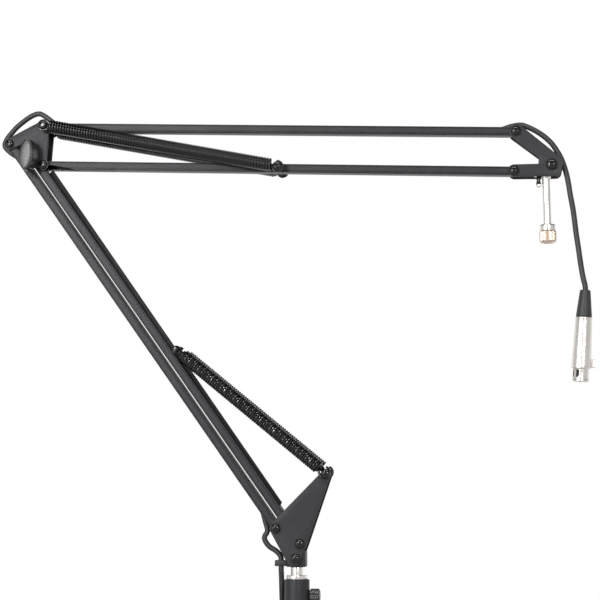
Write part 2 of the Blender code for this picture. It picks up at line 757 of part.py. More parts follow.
change(post, rod(down_post(-8.5), down_post(-0.2), 4.7, 18), "UNION")
change(post, rod(down_post(-1), down_post(SHAFT_LENGTH), 3.8, 18), "UNION")
thread_at = down_post(SHAFT_LENGTH)
turned(
    "thread_adapter",
    [
        (0, -GAP),
        (4.1, -GAP),
        (4.1, 5.4),
        (6.8, 5.4),
        (7.5, 4.7),
        (7.5, -0.6),
        (7.3, -0.9),
        (7.9, -1.4),
        (7.9, -10.4),
        (7.2, -11.8),
        (5.5, -12.4),
        (0, -12.4),
    ],
    "post",
    "brass",
    (POST_PIVOT[0] + thread_at[0], 0, POST_PIVOT[1] + thread_at[2]),
    (0, -POST_LEAN, 0),
    steps=18,
)

# Cable pieces, from the head to the coil
lower_out = LOWER_SLOPE + math.pi / 2


def beside(start, distance, offset):
    """A point beside the outer lower tube: this far up it, and off it on its outer side."""
    point = along(along(start, LOWER_SLOPE, distance), lower_out, offset)
    return (point[0], 0, point[1])


def flat(points):
    return [(x, 0, z) for x, z in points]


elbow_low = along(ELBOW_OUTER, LOWER_SLOPE, -46)
elbow_high = along(UPPER_TOP, UPPER_SLOPE, 37)
head_low = along(HEAD_TOP, UPPER_SLOPE, -40)
base_high = along(BASE_OUTER, LOWER_SLOPE, 46)
cable("cable_run_lower", flat([along(base_high, LOWER_SLOPE, GAP), along(elbow_low, LOWER_SLOPE, -GAP)]), "lower_outer")
cable("cable_run_upper", flat([along(elbow_high, UPPER_SLOPE, GAP), along(head_low, UPPER_SLOPE, -GAP)]), "upper_top")


def from_pivot(pivot, steps):
    """The points of a route, each given as its step from the pivot."""
    return [shifted(pivot, step) for step in steps]


OVER_ELBOW = [(21.5, -30.2), (17.7, -25.0), (13.7, -19.9), (7.9, -13.6), (-1.3, -7.4), (-7.7, -0.6)]
OVER_ELBOW += [(-5.8, 6.4), (-0.6, 12.9), (5.9, 19.7), (17.5, 28.1), (26.5, 31.4), (32.7, 28.9)]
OVER_ELBOW += [(39.6, 23.7), (46.1, 19.3), (52.8, 16.6), (61.0, 15.4)]
ELBOW_CUT = (2.9, 16.2)
elbow_route = [elbow_low, *from_pivot(ELBOW_OUTER, OVER_ELBOW), elbow_high]
elbow_cut = shifted(ELBOW_OUTER, ELBOW_CUT)
elbow_cables = (("cable_elbow_lower", "elbow"), ("cable_elbow_upper", "elbow"))
cable_in_two(flat(elbow_route), (elbow_cut[0], 0, elbow_cut[1]), *elbow_cables)
XLR_FROM_HEAD = (62.9, -152.1)
XLR_LEAN = math.radians(3.78)
XLR_TOP = shifted(HEAD_TOP, XLR_FROM_HEAD)
xlr_inside = (XLR_TOP[0] - 12 * math.sin(XLR_LEAN), XLR_TOP[1] - 12 * math.cos(XLR_LEAN))
OVER_HEAD = [(-28.5, 1.1), (-19.0, 1.8), (-12.3, 3.5), (-5.1, 5.8), (3.5, 7.1), (8.3, 6.1), (17.4, 1.7), (26.6, -4.7)]
OVER_HEAD += [(33.4, -11.4), (37.9, -18.1), (41.6, -24.8), (44.6, -32.6), (47.1, -41.7), (48.6, -49.5)]
OVER_HEAD += [(50.3, -61.3), (52.9, -77.2), (55.1, -97.1), (57.2, -112.9), (59.2, -128.7), (61.1, -140.5)]
HEAD_CUT = (39.7, -21.8)
head_cut = shifted(HEAD_TOP, HEAD_CUT)
head_route = [head_low, *from_pivot(HEAD_TOP, OVER_HEAD), (XLR_TOP[0] + 0.1, XLR_TOP[1] + 2), xlr_inside]
cable_in_two(flat(head_route), (head_cut[0], 0, head_cut[1]), ("cable_head_loop", "head"), ("cable_drop", "head"))
CLIP_X = -15.2
base_route = [
    (base_high[0], 0, base_high[1]),
    beside(BASE_OUTER, 38, 0.0),
    beside(BASE_OUTER, 31, 0.3),
    beside(BASE_OUTER, 22, 1.9),
    beside(BASE_OUTER, 12, 5.6),
    beside(BASE_OUTER, 3, 9.2),
    (-31.6, 0, 89.0),
    (-27.5, 0, 81.5),
    (-20.0, 0, 76.5),
    (CLIP_X - 0.5, 0, 71.5),
    (CLIP_X, 0, 64.5),
    (CLIP_X, 0, 59.0),
    (CLIP_X, 2, 52.0),
    (-15.5, 6.0, 39),
    (-16.0, 11.5, 27),
    (-16.7, 18.5, 16),
    (-17.3, 25.5, 8.4),
    (-17.7, 32.0, 4.8),
]
coil_start = (COIL_CENTRE[0] + COIL_OUTER, COIL_CENTRE[1] - CABLE, COIL_LOW)
base_route += [(coil_start[0], coil_start[1] - 6, COIL_LOW)]
base_route += [(coil_start[0], coil_start[1] - GAP, COIL_LOW)]
cable_in_two(base_route, (CLIP_X, 0, 58), ("cable_base_loop", "base"), ("cable_base_drop", "clamp"))
clip = place(box((CLIP_X - 5.5, -5, 62.5), (-9.3, 5, 68)), "cable_clip", "base", "plastic")
change(clip, rod((CLIP_X - 0.1, 0, 60), (CLIP_X - 0.1, 0, 73), CABLE / 2 + 1.0, 12))


# Coil on the desk: it spirals in on the lower layer and out on the upper one
def coil_path():
    points = []
    count = round(COIL_TURNS * COIL_POINTS)
    turn_at = 4.0
    for k in range(count + 1):
        turns = k / COIL_POINTS
        radius = COIL_OUTER - COIL_PITCH * (turn_at - abs(turn_at - turns))
        climb = min(1, max(0, (turns - turn_at + 0.25) / 0.5))
        angle = 2 * math.pi * turns
        points.append(
            Vector(
                (
                    COIL_CENTRE[0] + radius * math.cos(angle),
                    COIL_CENTRE[1] + radius * math.sin(angle),
                    COIL_LOW + COIL_LAYER * climb,
                )
            )
        )
    first = points[0] + Vector((0, -CABLE, 0))
    last = points[-1] - Vector((CABLE, 0, 0))
    return [first, *points, last]


coil_points = coil_path()
print(f"cable_coil: least gap {least_gap(coil_points, CABLE):.2f} mm")
tube("cable_coil", coil_points, CABLE, "clamp", "rubber", 1)
tie_in = [(-38.7, 1.0), (-13.9, 1.0), (-13.9, 12.9), (-38.7, 12.9)]
tie_out = [(-39.7, 0.1), (-12.9, 0.1), (-12.9, 13.8), (-39.7, 13.8)]
place(prism([tie_out, tie_in], -3, 3), "coil_tie", "clamp", "plastic", (*COIL_CENTRE, 0))
tail_start = coil_points[-1]
PLUG_AT = (-104.0, 81.0, 10.0)
tail = [
    (tail_start.x - GAP, tail_start.y, tail_start.z),
    (tail_start.x - 9, tail_start.y - 0.4, tail_start.z - 0.2),
    (-80, 86.3, 9.4),
    (-90, 83.2, 9.5),
    (-99, 81.2, 9.9),
    (-106, 81, 10),
    (-116, 81, 10),
]
cable("cable_tail", tail, "clamp")


# Plugs: local z points from the plug to its cable
def plug(prefix, body, origin, turn, female):
    """Boot and shell, plus the insert. The boot's wide end meets the shell at 25.5 below the origin."""
    hole = CABLE / 2 + 2 * GAP
    boot = [(hole, 0), (4.9, 0), (5.25, -0.6), (7.5, -25.2), (hole + 1, -25.2), (hole, -22)]
    turned(prefix + "_boot", boot, body, "rubber", origin, turn, 16, ring=True)
    if female:
        shell = [(0, -25.8), (8.0, -25.8), (9.4, -73.8), (7.4, -74.6), (7.4, -85.4), (6.9, -86.3), (5.9, -86.3)]
        shell += [(5.9, -60), (0, -60)]
    else:
        shell = [(0, -25.8), (8.0, -25.8), (9.5, -62), (9.5, -84.2), (9.2, -84.6), (8.1, -84.6), (8.1, -66)]
        shell += [(0, -66)]
    return turned(prefix + "_shell", shell, body, "nickel", origin, turn, 20)


PIN_CIRCLE = 3.3
PIN_ANGLES = [math.radians(a) for a in (90, 210, 330)]
plug_turn = (0, XLR_LEAN, 0)
plug_at = (XLR_TOP[0], 0, XLR_TOP[1])
female = plug("xlr_female", "head", plug_at, plug_turn, True)
for angle in (200, 245):
    wall = box((4, -1.3, -82.4), (9, 1.3, -75.2))
    wall.transform(Matrix.Rotation(math.radians(angle), 4, "Z"))
    change(female, wall)
change(female, box((5, -2.3, -73.2), (14, 2.3, -64.8)))
insert = turned("xlr_female_insert", [(0, -60.3), (5.6, -60.3), (5.6, -85.8), (0, -85.8)], "head", "plastic", plug_at, plug_turn, 16)
for angle in PIN_ANGLES:
    x, y = PIN_CIRCLE * math.cos(angle), PIN_CIRCLE * math.sin(angle)
    change(insert, rod((x, y, -72), (x, y, -90), 1.3, 8))
latch_at = Vector(plug_at) + Matrix.Rotation(XLR_LEAN, 3, "Y") @ Vector((10, 0, -69))
make_body("latch", latch_at, "head")
place(box((-2.1, -2, -3.9), (2.6, 2, 3.9)), "xlr_female_latch", "latch", "nickel", latch_at, plug_turn)
male_turn = (0, math.pi / 2, 0)
plug("xlr_male", "clamp", PLUG_AT, male_turn, False)
pins = turned("xlr_male_insert", [(0, -66.3), (7.8, -66.3), (7.8, -70), (0, -70)], "clamp", "plastic", PLUG_AT, male_turn, 16)
for angle in PIN_ANGLES:
    x, y = PIN_CIRCLE * math.cos(angle), PIN_CIRCLE * math.sin(angle)
    change(pins, rod((x, y, -69), (x, y, -82), 1.2, 8), "UNION")

bpy.context.view_layer.update()
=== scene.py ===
"""The looks of the desk-clamp microphone stand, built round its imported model.

Sizes below are in millimetres in the row frame: +X along the upper arm, +Z up, the desk towards +Y, and the
origin on the desk top under the clamp's pad. Meshes are made in metres.
"""

import math

import bmesh
import bpy
from mathutils import Euler, Matrix, Vector
from mathutils.geometry import tessellate_polygon


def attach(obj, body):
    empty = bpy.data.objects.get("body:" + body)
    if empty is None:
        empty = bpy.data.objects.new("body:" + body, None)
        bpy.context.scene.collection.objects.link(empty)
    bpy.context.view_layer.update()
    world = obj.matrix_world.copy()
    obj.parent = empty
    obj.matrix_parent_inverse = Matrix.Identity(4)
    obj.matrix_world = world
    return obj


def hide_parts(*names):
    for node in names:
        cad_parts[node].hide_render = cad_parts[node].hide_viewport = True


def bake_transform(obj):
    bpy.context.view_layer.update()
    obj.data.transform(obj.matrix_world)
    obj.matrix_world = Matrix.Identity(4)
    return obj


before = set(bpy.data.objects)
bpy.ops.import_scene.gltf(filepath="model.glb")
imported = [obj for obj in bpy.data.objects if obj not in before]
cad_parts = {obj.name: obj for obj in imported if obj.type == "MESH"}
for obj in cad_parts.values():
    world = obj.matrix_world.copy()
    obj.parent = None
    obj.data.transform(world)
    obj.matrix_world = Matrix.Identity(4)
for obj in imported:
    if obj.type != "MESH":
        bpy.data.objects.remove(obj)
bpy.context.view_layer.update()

MM = 0.001
GAP = 0.3

# Arms and pivots, as in the part
ARM_LENGTH = 462.0
LOWER_SLOPE = math.radians(125.41)
UPPER_SLOPE = math.radians(-2.15)
TUBE_WIDTH = 8.2
TUBE_DEPTH = 14.0
TUBE_WALL = 1.0
BASE_OUTER = (-19.2, 98.3)
BASE_LINK = (23.3, -14.3)
ELBOW_TO_UPPER = (36.5, 16.3)
HEAD_LINK = (-2.0, -38.0)
HEAD_TO_POST = (33.3, -33.0)
BASE_SPRING = (29.3, 150.0)
LOWER_SPRING_FROM_TOP = 241.0
LOWER_SPRING_OFFSET = 8.6
UPPER_SPRING_FROM_ELBOW = 236.0
PLATE_IN = TUBE_DEPTH / 2 + GAP
PLATE_OUT = PLATE_IN + 2.0
HEAD_IN = PLATE_OUT + GAP
BOLT = 2.0
BOLT_CLEARANCE = 0.3
HEAD_HEIGHT = 3.2
NUT_HEIGHT = 2.8

# Springs: the real number of turns. WIRE sets the clearances, and the coils are drawn thicker to close them up
WIRE = 1.85
COIL_WIRE = 2.3
SPRING_RADIUS = 5.5
UPPER_CURLS = 83
LOWER_CURLS = 75
CURL_POINTS = 14
HOOK_POINTS = 20
HOOK_SWEEP = 290
UPPER_SPRING_Y = 17.0
LOWER_SPRING_TOP_Y = 8.7
LOWER_SPRING_BASE_Y = 11.4
SLEEVE = 3.4
UPPER_RING = SLEEVE + WIRE / 2 + 2 * GAP
RING_HEAD = UPPER_SPRING_Y + WIRE / 2 + 0.55
SLEEVE_END = RING_HEAD - 0.35
LOWER_RING_HEAD = LOWER_SPRING_BASE_Y + WIRE / 2 + 0.35
PIN_HEAD = LOWER_SPRING_TOP_Y + WIRE / 2 + 0.35
PIN_RADIUS = 1.2
LOWER_RINGS = (3.1, 5.2)

# Shares of the springs' length, from the end at the joint, that give the points passed with each spring
# piece's blend
UPPER_TURN = (0.0, 0.42)
LOWER_TURN = (0.0, 0.65)

# Cable and its coil
CABLE = 5.2
COIL_TURNS = 8.25
COIL_POINTS = 36
COIL_PITCH = 5.9
COIL_OUTER = 38.2
COIL_CENTRE = (-56.0, 50.0)
COIL_LOW = 4.0
COIL_LAYER = 5.8

# Camera: the photograph's viewing angle
CAMERA_AT = (0.2494, -1.650, 0.155)
CAMERA_PITCH = math.radians(5.5193)
CAMERA_YAW = math.radians(8.4986)
LENS = 104.4

camera_data = bpy.data.cameras.new("camera")
camera_data.lens = LENS
camera_data.sensor_width = 36.0
camera = bpy.data.objects.new("camera", camera_data)
camera.location = CAMERA_AT
camera.rotation_euler = (math.pi / 2 + CAMERA_PITCH, 0, CAMERA_YAW)
bpy.context.scene.collection.objects.link(camera)
bpy.context.scene.camera = camera
bpy.context.scene.view_settings.view_transform = "Standard"


# Points in the x-z plane
def along(point, angle, length):
    return (point[0] + length * math.cos(angle), point[1] + length * math.sin(angle))


def shifted(point, step):
    return (point[0] + step[0], point[1] + step[1])


BASE_INNER = shifted(BASE_OUTER, BASE_LINK)
ELBOW_OUTER = along(BASE_OUTER, LOWER_SLOPE, ARM_LENGTH)
ELBOW_INNER = shifted(ELBOW_OUTER, BASE_LINK)
UPPER_TOP = shifted(ELBOW_OUTER, ELBOW_TO_UPPER)
UPPER_BOTTOM = shifted(UPPER_TOP, HEAD_LINK)
HEAD_TOP = along(UPPER_TOP, UPPER_SLOPE, ARM_LENGTH)
HEAD_BOTTOM = shifted(HEAD_TOP, HEAD_LINK)
POST_PIVOT = shifted(HEAD_TOP, HEAD_TO_POST)
LOWER_SPRING = along(
    along(ELBOW_INNER, LOWER_SLOPE, -LOWER_SPRING_FROM_TOP),
    LOWER_SLOPE - math.pi / 2,
    LOWER_SPRING_OFFSET,
)
UPPER_SPRING = along(UPPER_BOTTOM, UPPER_SLOPE, UPPER_SPRING_FROM_ELBOW)


# Materials
def noise(nodes, links, source, scale, detail, stretch):
    mapping = nodes.new("ShaderNodeMapping")
    mapping.inputs["Scale"].default_value = stretch
    links.new(source, mapping.inputs["Vector"])
    texture = nodes.new("ShaderNodeTexNoise")
    texture.inputs["Scale"].default_value = scale
    texture.inputs["Detail"].default_value = detail
    links.new(mapping.outputs["Vector"], texture.inputs["Vector"])
    return texture.outputs["Fac"]


def ramp(nodes, links, source, low, high, first, last):
    """Maps the noise from low...high to the two given numbers, or colours."""
    if isinstance(first, tuple):
        found = nodes.new("ShaderNodeValToRGB")
        found.color_ramp.elements[0].position = low
        found.color_ramp.elements[0].color = (*first, 1)
        found.color_ramp.elements[1].position = high
        found.color_ramp.elements[1].color = (*last, 1)
        links.new(source, found.inputs["Fac"])
        return found.outputs["Color"]
    found = nodes.new("ShaderNodeMapRange")
    found.inputs["From Min"].default_value = low
    found.inputs["From Max"].default_value = high
    found.inputs["To Min"].default_value = first
    found.inputs["To Max"].default_value = last
    links.new(source, found.inputs["Value"])
    return found.outputs["Result"]


def surface(name, first, last, metallic, rough, grain, bump, patch=70.0, stretch=(1, 1, 1), specular=0.5):
    """A finish with patches between two colours, and a fine grain that is its bump and varies its gloss."""
    material = bpy.data.materials.new(name)
    material.use_nodes = True
    nodes, links = material.node_tree.nodes, material.node_tree.links
    shader = nodes["Principled BSDF"]
    shader.inputs["Metallic"].default_value = metallic
    shader.inputs["Specular IOR Level"].default_value = specular
    where = nodes.new("ShaderNodeTexCoord").outputs["Object"]
    patches = noise(nodes, links, where, patch, 4.0, stretch)
    fine = noise(nodes, links, where, grain, 2.0, stretch)
    links.new(ramp(nodes, links, patches, 0.32, 0.68, first, last), shader.inputs["Base Color"])
    links.new(ramp(nodes, links, fine, 0.3, 0.7, *rough), shader.inputs["Roughness"])
    relief = nodes.new("ShaderNodeBump")
    relief.inputs["Strength"].default_value = bump
    relief.inputs["Distance"].default_value = 0.0001
    links.new(fine, relief.inputs["Height"])
    links.new(relief.outputs["Normal"], shader.inputs["Normal"])
    material.diffuse_color = (*first, 1)
    return material


COAT = surface(
    "powder_coat", (0.038, 0.039, 0.043), (0.048, 0.049, 0.054), 0.0, (0.32, 0.42), 1600, 0.35, specular=0.2
)
# The rail's coat is the powder coat made darker: painted shade for the rail, whose side lies in shade
RAIL_SHADED_COAT = surface(
    "rail_coat_painted_shade", (0.014, 0.014, 0.016), (0.019, 0.019, 0.021), 0.0, (0.4, 0.5), 600, 0.05, specular=0.15
)
SPRING_STEEL = surface(
    "spring_steel", (0.004, 0.004, 0.005), (0.009, 0.009, 0.01), 0.0, (0.1, 0.15), 900, 0.1, specular=0.7
)
BLACK_STEEL = surface(
    "black_steel", (0.005, 0.005, 0.006), (0.012, 0.012, 0.013), 0.0, (0.08, 0.13), 1100, 0.08
)
KNOB = surface("knob_plastic", (0.03, 0.03, 0.032), (0.042, 0.042, 0.045), 0.0, (0.26, 0.34), 2200, 0.3)
NICKEL = surface(
    "satin_nickel", (0.78, 0.75, 0.71), (0.86, 0.83, 0.8), 1.0, (0.16, 0.27), 1500, 0.12, 50, (1, 1, 0.05)
)
BARREL = surface("plug_nickel", (0.74, 0.7, 0.66), (0.82, 0.79, 0.76), 1.0, (0.2, 0.32), 2400, 0.25)
BRASS = surface("ring_brass", (0.66, 0.53, 0.42), (0.76, 0.64, 0.54), 1.0, (0.28, 0.4), 1800, 0.2)
RUBBER = surface("cable_jacket", (0.028, 0.029, 0.031), (0.042, 0.043, 0.046), 0.0, (0.38, 0.52), 1400, 0.25)
PAD = surface("pad_rubber", (0.018, 0.018, 0.019), (0.028, 0.028, 0.03), 0.0, (0.6, 0.75), 1200, 0.5)
PLASTIC = surface("moulded_plastic", (0.012, 0.012, 0.013), (0.02, 0.02, 0.021), 0.0, (0.42, 0.55), 1500, 0.3)
CONTACT = surface("contact_metal", (0.8, 0.68, 0.4), (0.86, 0.74, 0.48), 1.0, (0.2, 0.3), 1500, 0.1)
DESK = surface("desk_top", (0.78, 0.77, 0.75), (0.82, 0.81, 0.79), 0.0, (0.45, 0.55), 500, 0.1, 12)


# Meshes
def mesh_of(shape):
    bmesh.ops.recalc_face_normals(shape, faces=shape.faces)
    mesh = bpy.data.meshes.new("mesh")
    shape.to_mesh(mesh)
    shape.free()
    return mesh


def evaluated(obj):
    bpy.context.view_layer.update()
    graph = bpy.context.evaluated_depsgraph_get()
    return bpy.data.meshes.new_from_object(obj.evaluated_get(graph))


BEVEL_ANGLE = math.radians(40.0)


def worked(mesh, add=(), cut=(), bevel=0.0, segments=2):
    """The mesh with others joined on and cut from it, and then with its edges rounded."""
    made = [bpy.data.objects.new("work", mesh)]
    bpy.context.scene.collection.objects.link(made[0])
    for operation, others in (("UNION", add), ("DIFFERENCE", cut)):
        for other in others:
            helper = bpy.data.objects.new("helper", other)
            bpy.context.scene.collection.objects.link(helper)
            made.append(helper)
            modifier = made[0].modifiers.new(operation, "BOOLEAN")
            modifier.operation = operation
            modifier.solver = "EXACT"
            modifier.object = helper
    if bevel:
        modifier = made[0].modifiers.new("round", "BEVEL")
        modifier.width = bevel * MM
        modifier.segments = segments
        modifier.limit_method = "ANGLE"
        modifier.angle_limit = BEVEL_ANGLE
    result = evaluated(made[0])
    for obj in made:
        bpy.data.objects.remove(obj, do_unlink=True)
    return result


def piece(name, mesh, body, material, slot, *nodes, sharp=38.0, blend=None):
    """A finished piece that rides on the body, or, given a blend, is left unparented with its placement baked
    into the mesh, and stands for the CAD nodes.
    """
    mesh.materials.clear()
    mesh.materials.append(material)
    mesh.shade_smooth()
    mesh.set_sharp_from_angle(angle=math.radians(sharp))
    obj = bpy.data.objects.new(name, mesh)
    bpy.context.scene.collection.objects.link(obj)
    if blend:
        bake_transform(obj)
    else:
        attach(obj, body)
    if nodes:
        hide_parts(*nodes)
    return obj


def circle(x, z, radius, sides=36):
    steps = [2 * math.pi * k / sides for k in range(sides)]
    return [(x + radius * math.cos(a), z + radius * math.sin(a)) for a in steps]


def belt(circles, step=math.radians(7)):
    """The outline counter-clockwise round the circles (x, z, radius, turn). Turn -1 is an inner fillet."""
    normals = []
    for i, (x0, z0, r0, t0) in enumerate(circles):
        x1, z1, r1, t1 = circles[(i + 1) % len(circles)]
        span = math.hypot(x1 - x0, z1 - z0)
        heading = math.atan2(z1 - z0, x1 - x0)
        normals.append(heading - math.acos((r0 * t0 - r1 * t1) / span))
    points = []
    for i, (x, z, r, turn) in enumerate(circles):
        start, end = normals[i - 1], normals[i]
        sweep = (end - start) % (2 * math.pi) if turn > 0 else -((start - end) % (2 * math.pi))
        steps = max(1, round(abs(sweep) / step))
        for k in range(steps + 1):
            angle = start + sweep * k / steps
            points.append((x + turn * r * math.cos(angle), z + turn * r * math.sin(angle)))
    return points


def add_loop(shape, outline, y):
    return [shape.verts.new((x * MM, y * MM, z * MM)) for x, z in outline]


def add_wall(shape, low, high):
    for k in range(len(low)):
        n = (k + 1) % len(low)
        shape.faces.new((low[k], low[n], high[n], high[k]))


def slab(circles, holes, profile, chamfer=0.25):
    """A flat solid round the circles, with holes (x, z, radius). The profile is its (inset, y) steps."""
    shape = bmesh.new()
    loops = []
    for inset, y in profile:
        drawn = [(x, z, r - turn * inset, turn) for x, z, r, turn in circles]
        loops.append(add_loop(shape, belt(drawn), y))
    for low, high in zip(loops, loops[1:]):
        add_wall(shape, low, high)
    caps = [[loops[0]], [loops[-1]]]
    low, high = profile[0][1], profile[-1][1]
    for x, z, radius in holes:
        levels = ((low, chamfer), (low + chamfer, 0), (high - chamfer, 0), (high, chamfer))
        bore = [add_loop(shape, circle(x, z, radius + wider), y) for y, wider in levels]
        for a, b in zip(bore, bore[1:]):
            add_wall(shape, a, b)
        caps[0].append(bore[0])
        caps[1].append(bore[-1])
    for outlines in caps:
        verts = [vert for outline in outlines for vert in outline]
        for corners in tessellate_polygon([[(v.co.x, v.co.z, 0) for v in outline] for outline in outlines]):
            shape.faces.new([verts[k] for k in corners])
    return mesh_of(shape)


def rounded_sides(low, high, radius, steps=3):
    """The profile of a slab from low to high with rounded rims."""
    profile = []
    for k in range(steps + 1):
        angle = math.pi / 2 * k / steps
        profile.append((radius * (1 - math.sin(angle)), low + radius * (1 - math.cos(angle))))
    return profile + [(inset, low + high - y) for inset, y in reversed(profile)]


def prism(outline, low, high):
    """The outline in x and z, thick from low to high along y."""
    shape = bmesh.new()
    loops = [add_loop(shape, outline, y) for y in (low, high)]
    add_wall(shape, *loops)
    for loop in loops:
        shape.faces.new(loop)
    return mesh_of(shape)


def box(low, high):
    low, high = Vector(low) * MM, Vector(high) * MM
    shape = bmesh.new()
    bmesh.ops.create_cube(shape, size=1)
    bmesh.ops.scale(shape, vec=high - low, verts=shape.verts)
    bmesh.ops.translate(shape, vec=(low + high) / 2, verts=shape.verts)
    return mesh_of(shape)


def rod(start, end, radius, sides=32):
    start, end = Vector(start) * MM, Vector(end) * MM
    axis = end - start
    shape = bmesh.new()
    bmesh.ops.create_cone(
        shape, cap_ends=True, segments=sides, radius1=radius * MM, radius2=radius * MM, depth=axis.length
    )
    turn = axis.to_track_quat("Z", "Y").to_matrix().to_4x4()
    bmesh.ops.transform(shape, matrix=Matrix.Translation((start + end) / 2) @ turn, verts=shape.verts)
    return mesh_of(shape)


def rounded(points, radius, closed=False, steps=3):
    """The points with each corner drawn as a small curve."""
    found = []
    for i, point in enumerate(points):
        if not closed and i in (0, len(points) - 1):
            found.append(tuple(point))
            continue
        here = Vector(point)
        back = Vector(points[i - 1]) - here
        on = Vector(points[(i + 1) % len(points)]) - here
        start = here + back.normalized() * min(radius, back.length * 0.45)
        end = here + on.normalized() * min(radius, on.length * 0.45)
        for k in range(steps + 1):
            t = k / steps
            found.append(tuple(start * (1 - t) ** 2 + here * 2 * t * (1 - t) + end * t * t))
    return found


def around(radius, angle, z):
    """A point in metres at this angle round local z."""
    return (radius * MM * math.cos(angle), radius * MM * math.sin(angle), z * MM)


def lathe(profile, steps=48, ring=False, knurl=None):
    """Turned round local z from (radius, height) points. Knurl (low, high, depth) cuts every second step."""
    shape = bmesh.new()
    loops = []
    for radius, z in profile:
        if radius < 1e-6:
            loops.append([shape.verts.new((0, 0, z * MM))])
            continue
        loop = []
        for k in range(steps):
            cut = knurl[2] if knurl and knurl[0] <= z <= knurl[1] and k % 2 else 0
            loop.append(shape.verts.new(around(radius - cut, 2 * math.pi * k / steps, z)))
        loops.append(loop)
    pairs = list(zip(loops, loops[1:]))
    if ring:
        pairs.append((loops[-1], loops[0]))
    for low, high in pairs:
        for k in range(steps):
            n = (k + 1) % steps
            corners = [low[k % len(low)], low[n % len(low)], high[n % len(high)], high[k % len(high)]]
            corners = list(dict.fromkeys(corners))
            if len(corners) > 2:
                shape.faces.new(corners)
    return mesh_of(shape)


def placed(mesh, origin=(0, 0, 0), turn=(0, 0, 0)):
    mesh.transform(Matrix.Translation(Vector(origin) * MM) @ Euler(turn).to_matrix().to_4x4())
    return mesh


def tube(points, radius, sides):
    """A round tube along the points, closed at both ends, with its rings turned as little as possible."""
    points = [Vector(p) * MM for p in points]
    shape = bmesh.new()
    heading = (points[1] - points[0]).normalized()
    side = heading.orthogonal().normalized()
    loops = []
    for k, point in enumerate(points):
        new = (points[min(k + 1, len(points) - 1)] - points[max(k - 1, 0)]).normalized()
        side = heading.rotation_difference(new) @ side
        side = (side - new * side.dot(new)).normalized()
        heading = new
        deep = heading.cross(side)
        loop = []
        for n in range(sides):
            angle = 2 * math.pi * n / sides
            out = math.cos(angle) * side + math.sin(angle) * deep
            loop.append(shape.verts.new(point + radius * MM * out))
        loops.append(loop)
    for low, high in zip(loops, loops[1:]):
        add_wall(shape, low, high)
    shape.faces.new(loops[0])
    shape.faces.new(loops[-1])
    return mesh_of(shape)


def smooth(points, step):
    """Points about this far apart on the smooth curve through the given ones."""
    points = [Vector(p) for p in points]
    padded = [2 * points[0] - points[1], *points, 2 * points[-1] - points[-2]]
    fine = []
    for k in range(len(points) - 1):
        a, b, c, d = padded[k : k + 4]
        for j in range(16):
            t = j / 16
            square = (2 * a - 5 * b + 4 * c - d) * t * t
            cube = (3 * b - a - 3 * c + d) * t * t * t
            fine.append(0.5 * (2 * b + (c - a) * t + square + cube))
    fine.append(points[-1])
    lengths = [0.0]
    for a, b in zip(fine, fine[1:]):
        lengths.append(lengths[-1] + (b - a).length)
    count = max(2, round(lengths[-1] / step))
    found = [fine[0]]
    k = 0
    for n in range(1, count):
        want = lengths[-1] * n / count
        while lengths[k + 1] < want:
            k += 1
        found.append(fine[k].lerp(fine[k + 1], (want - lengths[k]) / (lengths[k + 1] - lengths[k])))
    return [*found, fine[-1]]


def flat(points):
    return [(x, 0, z) for x, z in points]


def from_pivot(pivot, steps):
    """The points of a route, each given as its step from the pivot."""
    return [shifted(pivot, step) for step in steps]


def in_two(points, near):
    """The route's points as two runs that part at the point nearest this one."""
    k = min(range(1, len(points) - 1), key=lambda i: (points[i] - Vector(near)).length)
    return points[: k + 1], points[k:]


# Cables. The runs in the tubes end this far from the pivots, and loops at the joints go on from there
LOWER_RUN_FROM = 46
UPPER_RUN_FROM = 37
UPPER_RUN_TO = 40
FINE = 2.6
COARSE = 20

# Where the loops' bends across the joints start or end
ELBOW_RISE_END = (-290.0, 0, 469.0)
ELBOW_OVER_START = (-262.0, 0, 505.0)
HEAD_LOOP_END = (222.0, 0, 479.0)
BASE_LOOP_END = (-27.5, 0, 81.5)
SWIVEL_BEND_END = (-16.0, 11.5, 27.0)
lower_out = LOWER_SLOPE + math.pi / 2
elbow_low = along(ELBOW_OUTER, LOWER_SLOPE, -LOWER_RUN_FROM)
elbow_high = along(UPPER_TOP, UPPER_SLOPE, UPPER_RUN_FROM)
head_low = along(HEAD_TOP, UPPER_SLOPE, -UPPER_RUN_TO)
base_high = along(BASE_OUTER, LOWER_SLOPE, LOWER_RUN_FROM)


def cable(name, points, body, *nodes, blend=None):
    return piece(name, tube(points, CABLE / 2, 16), body, RUBBER, "rubber", *nodes, blend=blend)


cable("cable_lower", smooth(flat([base_high, elbow_low]), COARSE), "lower_outer", "cable_run_lower")
cable("cable_upper", smooth(flat([elbow_high, head_low]), COARSE), "upper_top", "cable_run_upper")
OVER_ELBOW = [(21.5, -30.2), (17.7, -25.0), (13.7, -19.9), (7.9, -13.6), (-1.3, -7.4), (-7.7, -0.6)]
OVER_ELBOW += [(-5.8, 6.4), (-0.6, 12.9), (5.9, 19.7), (17.5, 28.1), (26.5, 31.4), (32.7, 28.9)]
OVER_ELBOW += [(39.6, 23.7), (46.1, 19.3), (52.8, 16.6), (61.0, 15.4)]
elbow_cut = shifted(ELBOW_OUTER, (2.9, 16.2))
elbow_route = [elbow_low, *from_pivot(ELBOW_OUTER, OVER_ELBOW), elbow_high]
first, second = in_two(smooth(flat(elbow_route), FINE), (elbow_cut[0], 0, elbow_cut[1]))
cable(
    "cable_elbow_rise",
    first,
    "lower_outer",
    "cable_elbow_lower",
    blend=("elbow", (elbow_low[0], 0, elbow_low[1]), ELBOW_RISE_END),
)
cable(
    "cable_elbow_over",
    second,
    "elbow",
    "cable_elbow_upper",
    blend=("upper_top", ELBOW_OVER_START, (elbow_high[0], 0, elbow_high[1])),
)
XLR_TOP = shifted(HEAD_TOP, (62.9, -152.1))
XLR_LEAN = math.radians(3.78)
xlr_inside = (XLR_TOP[0] - 12 * math.sin(XLR_LEAN), XLR_TOP[1] - 12 * math.cos(XLR_LEAN))
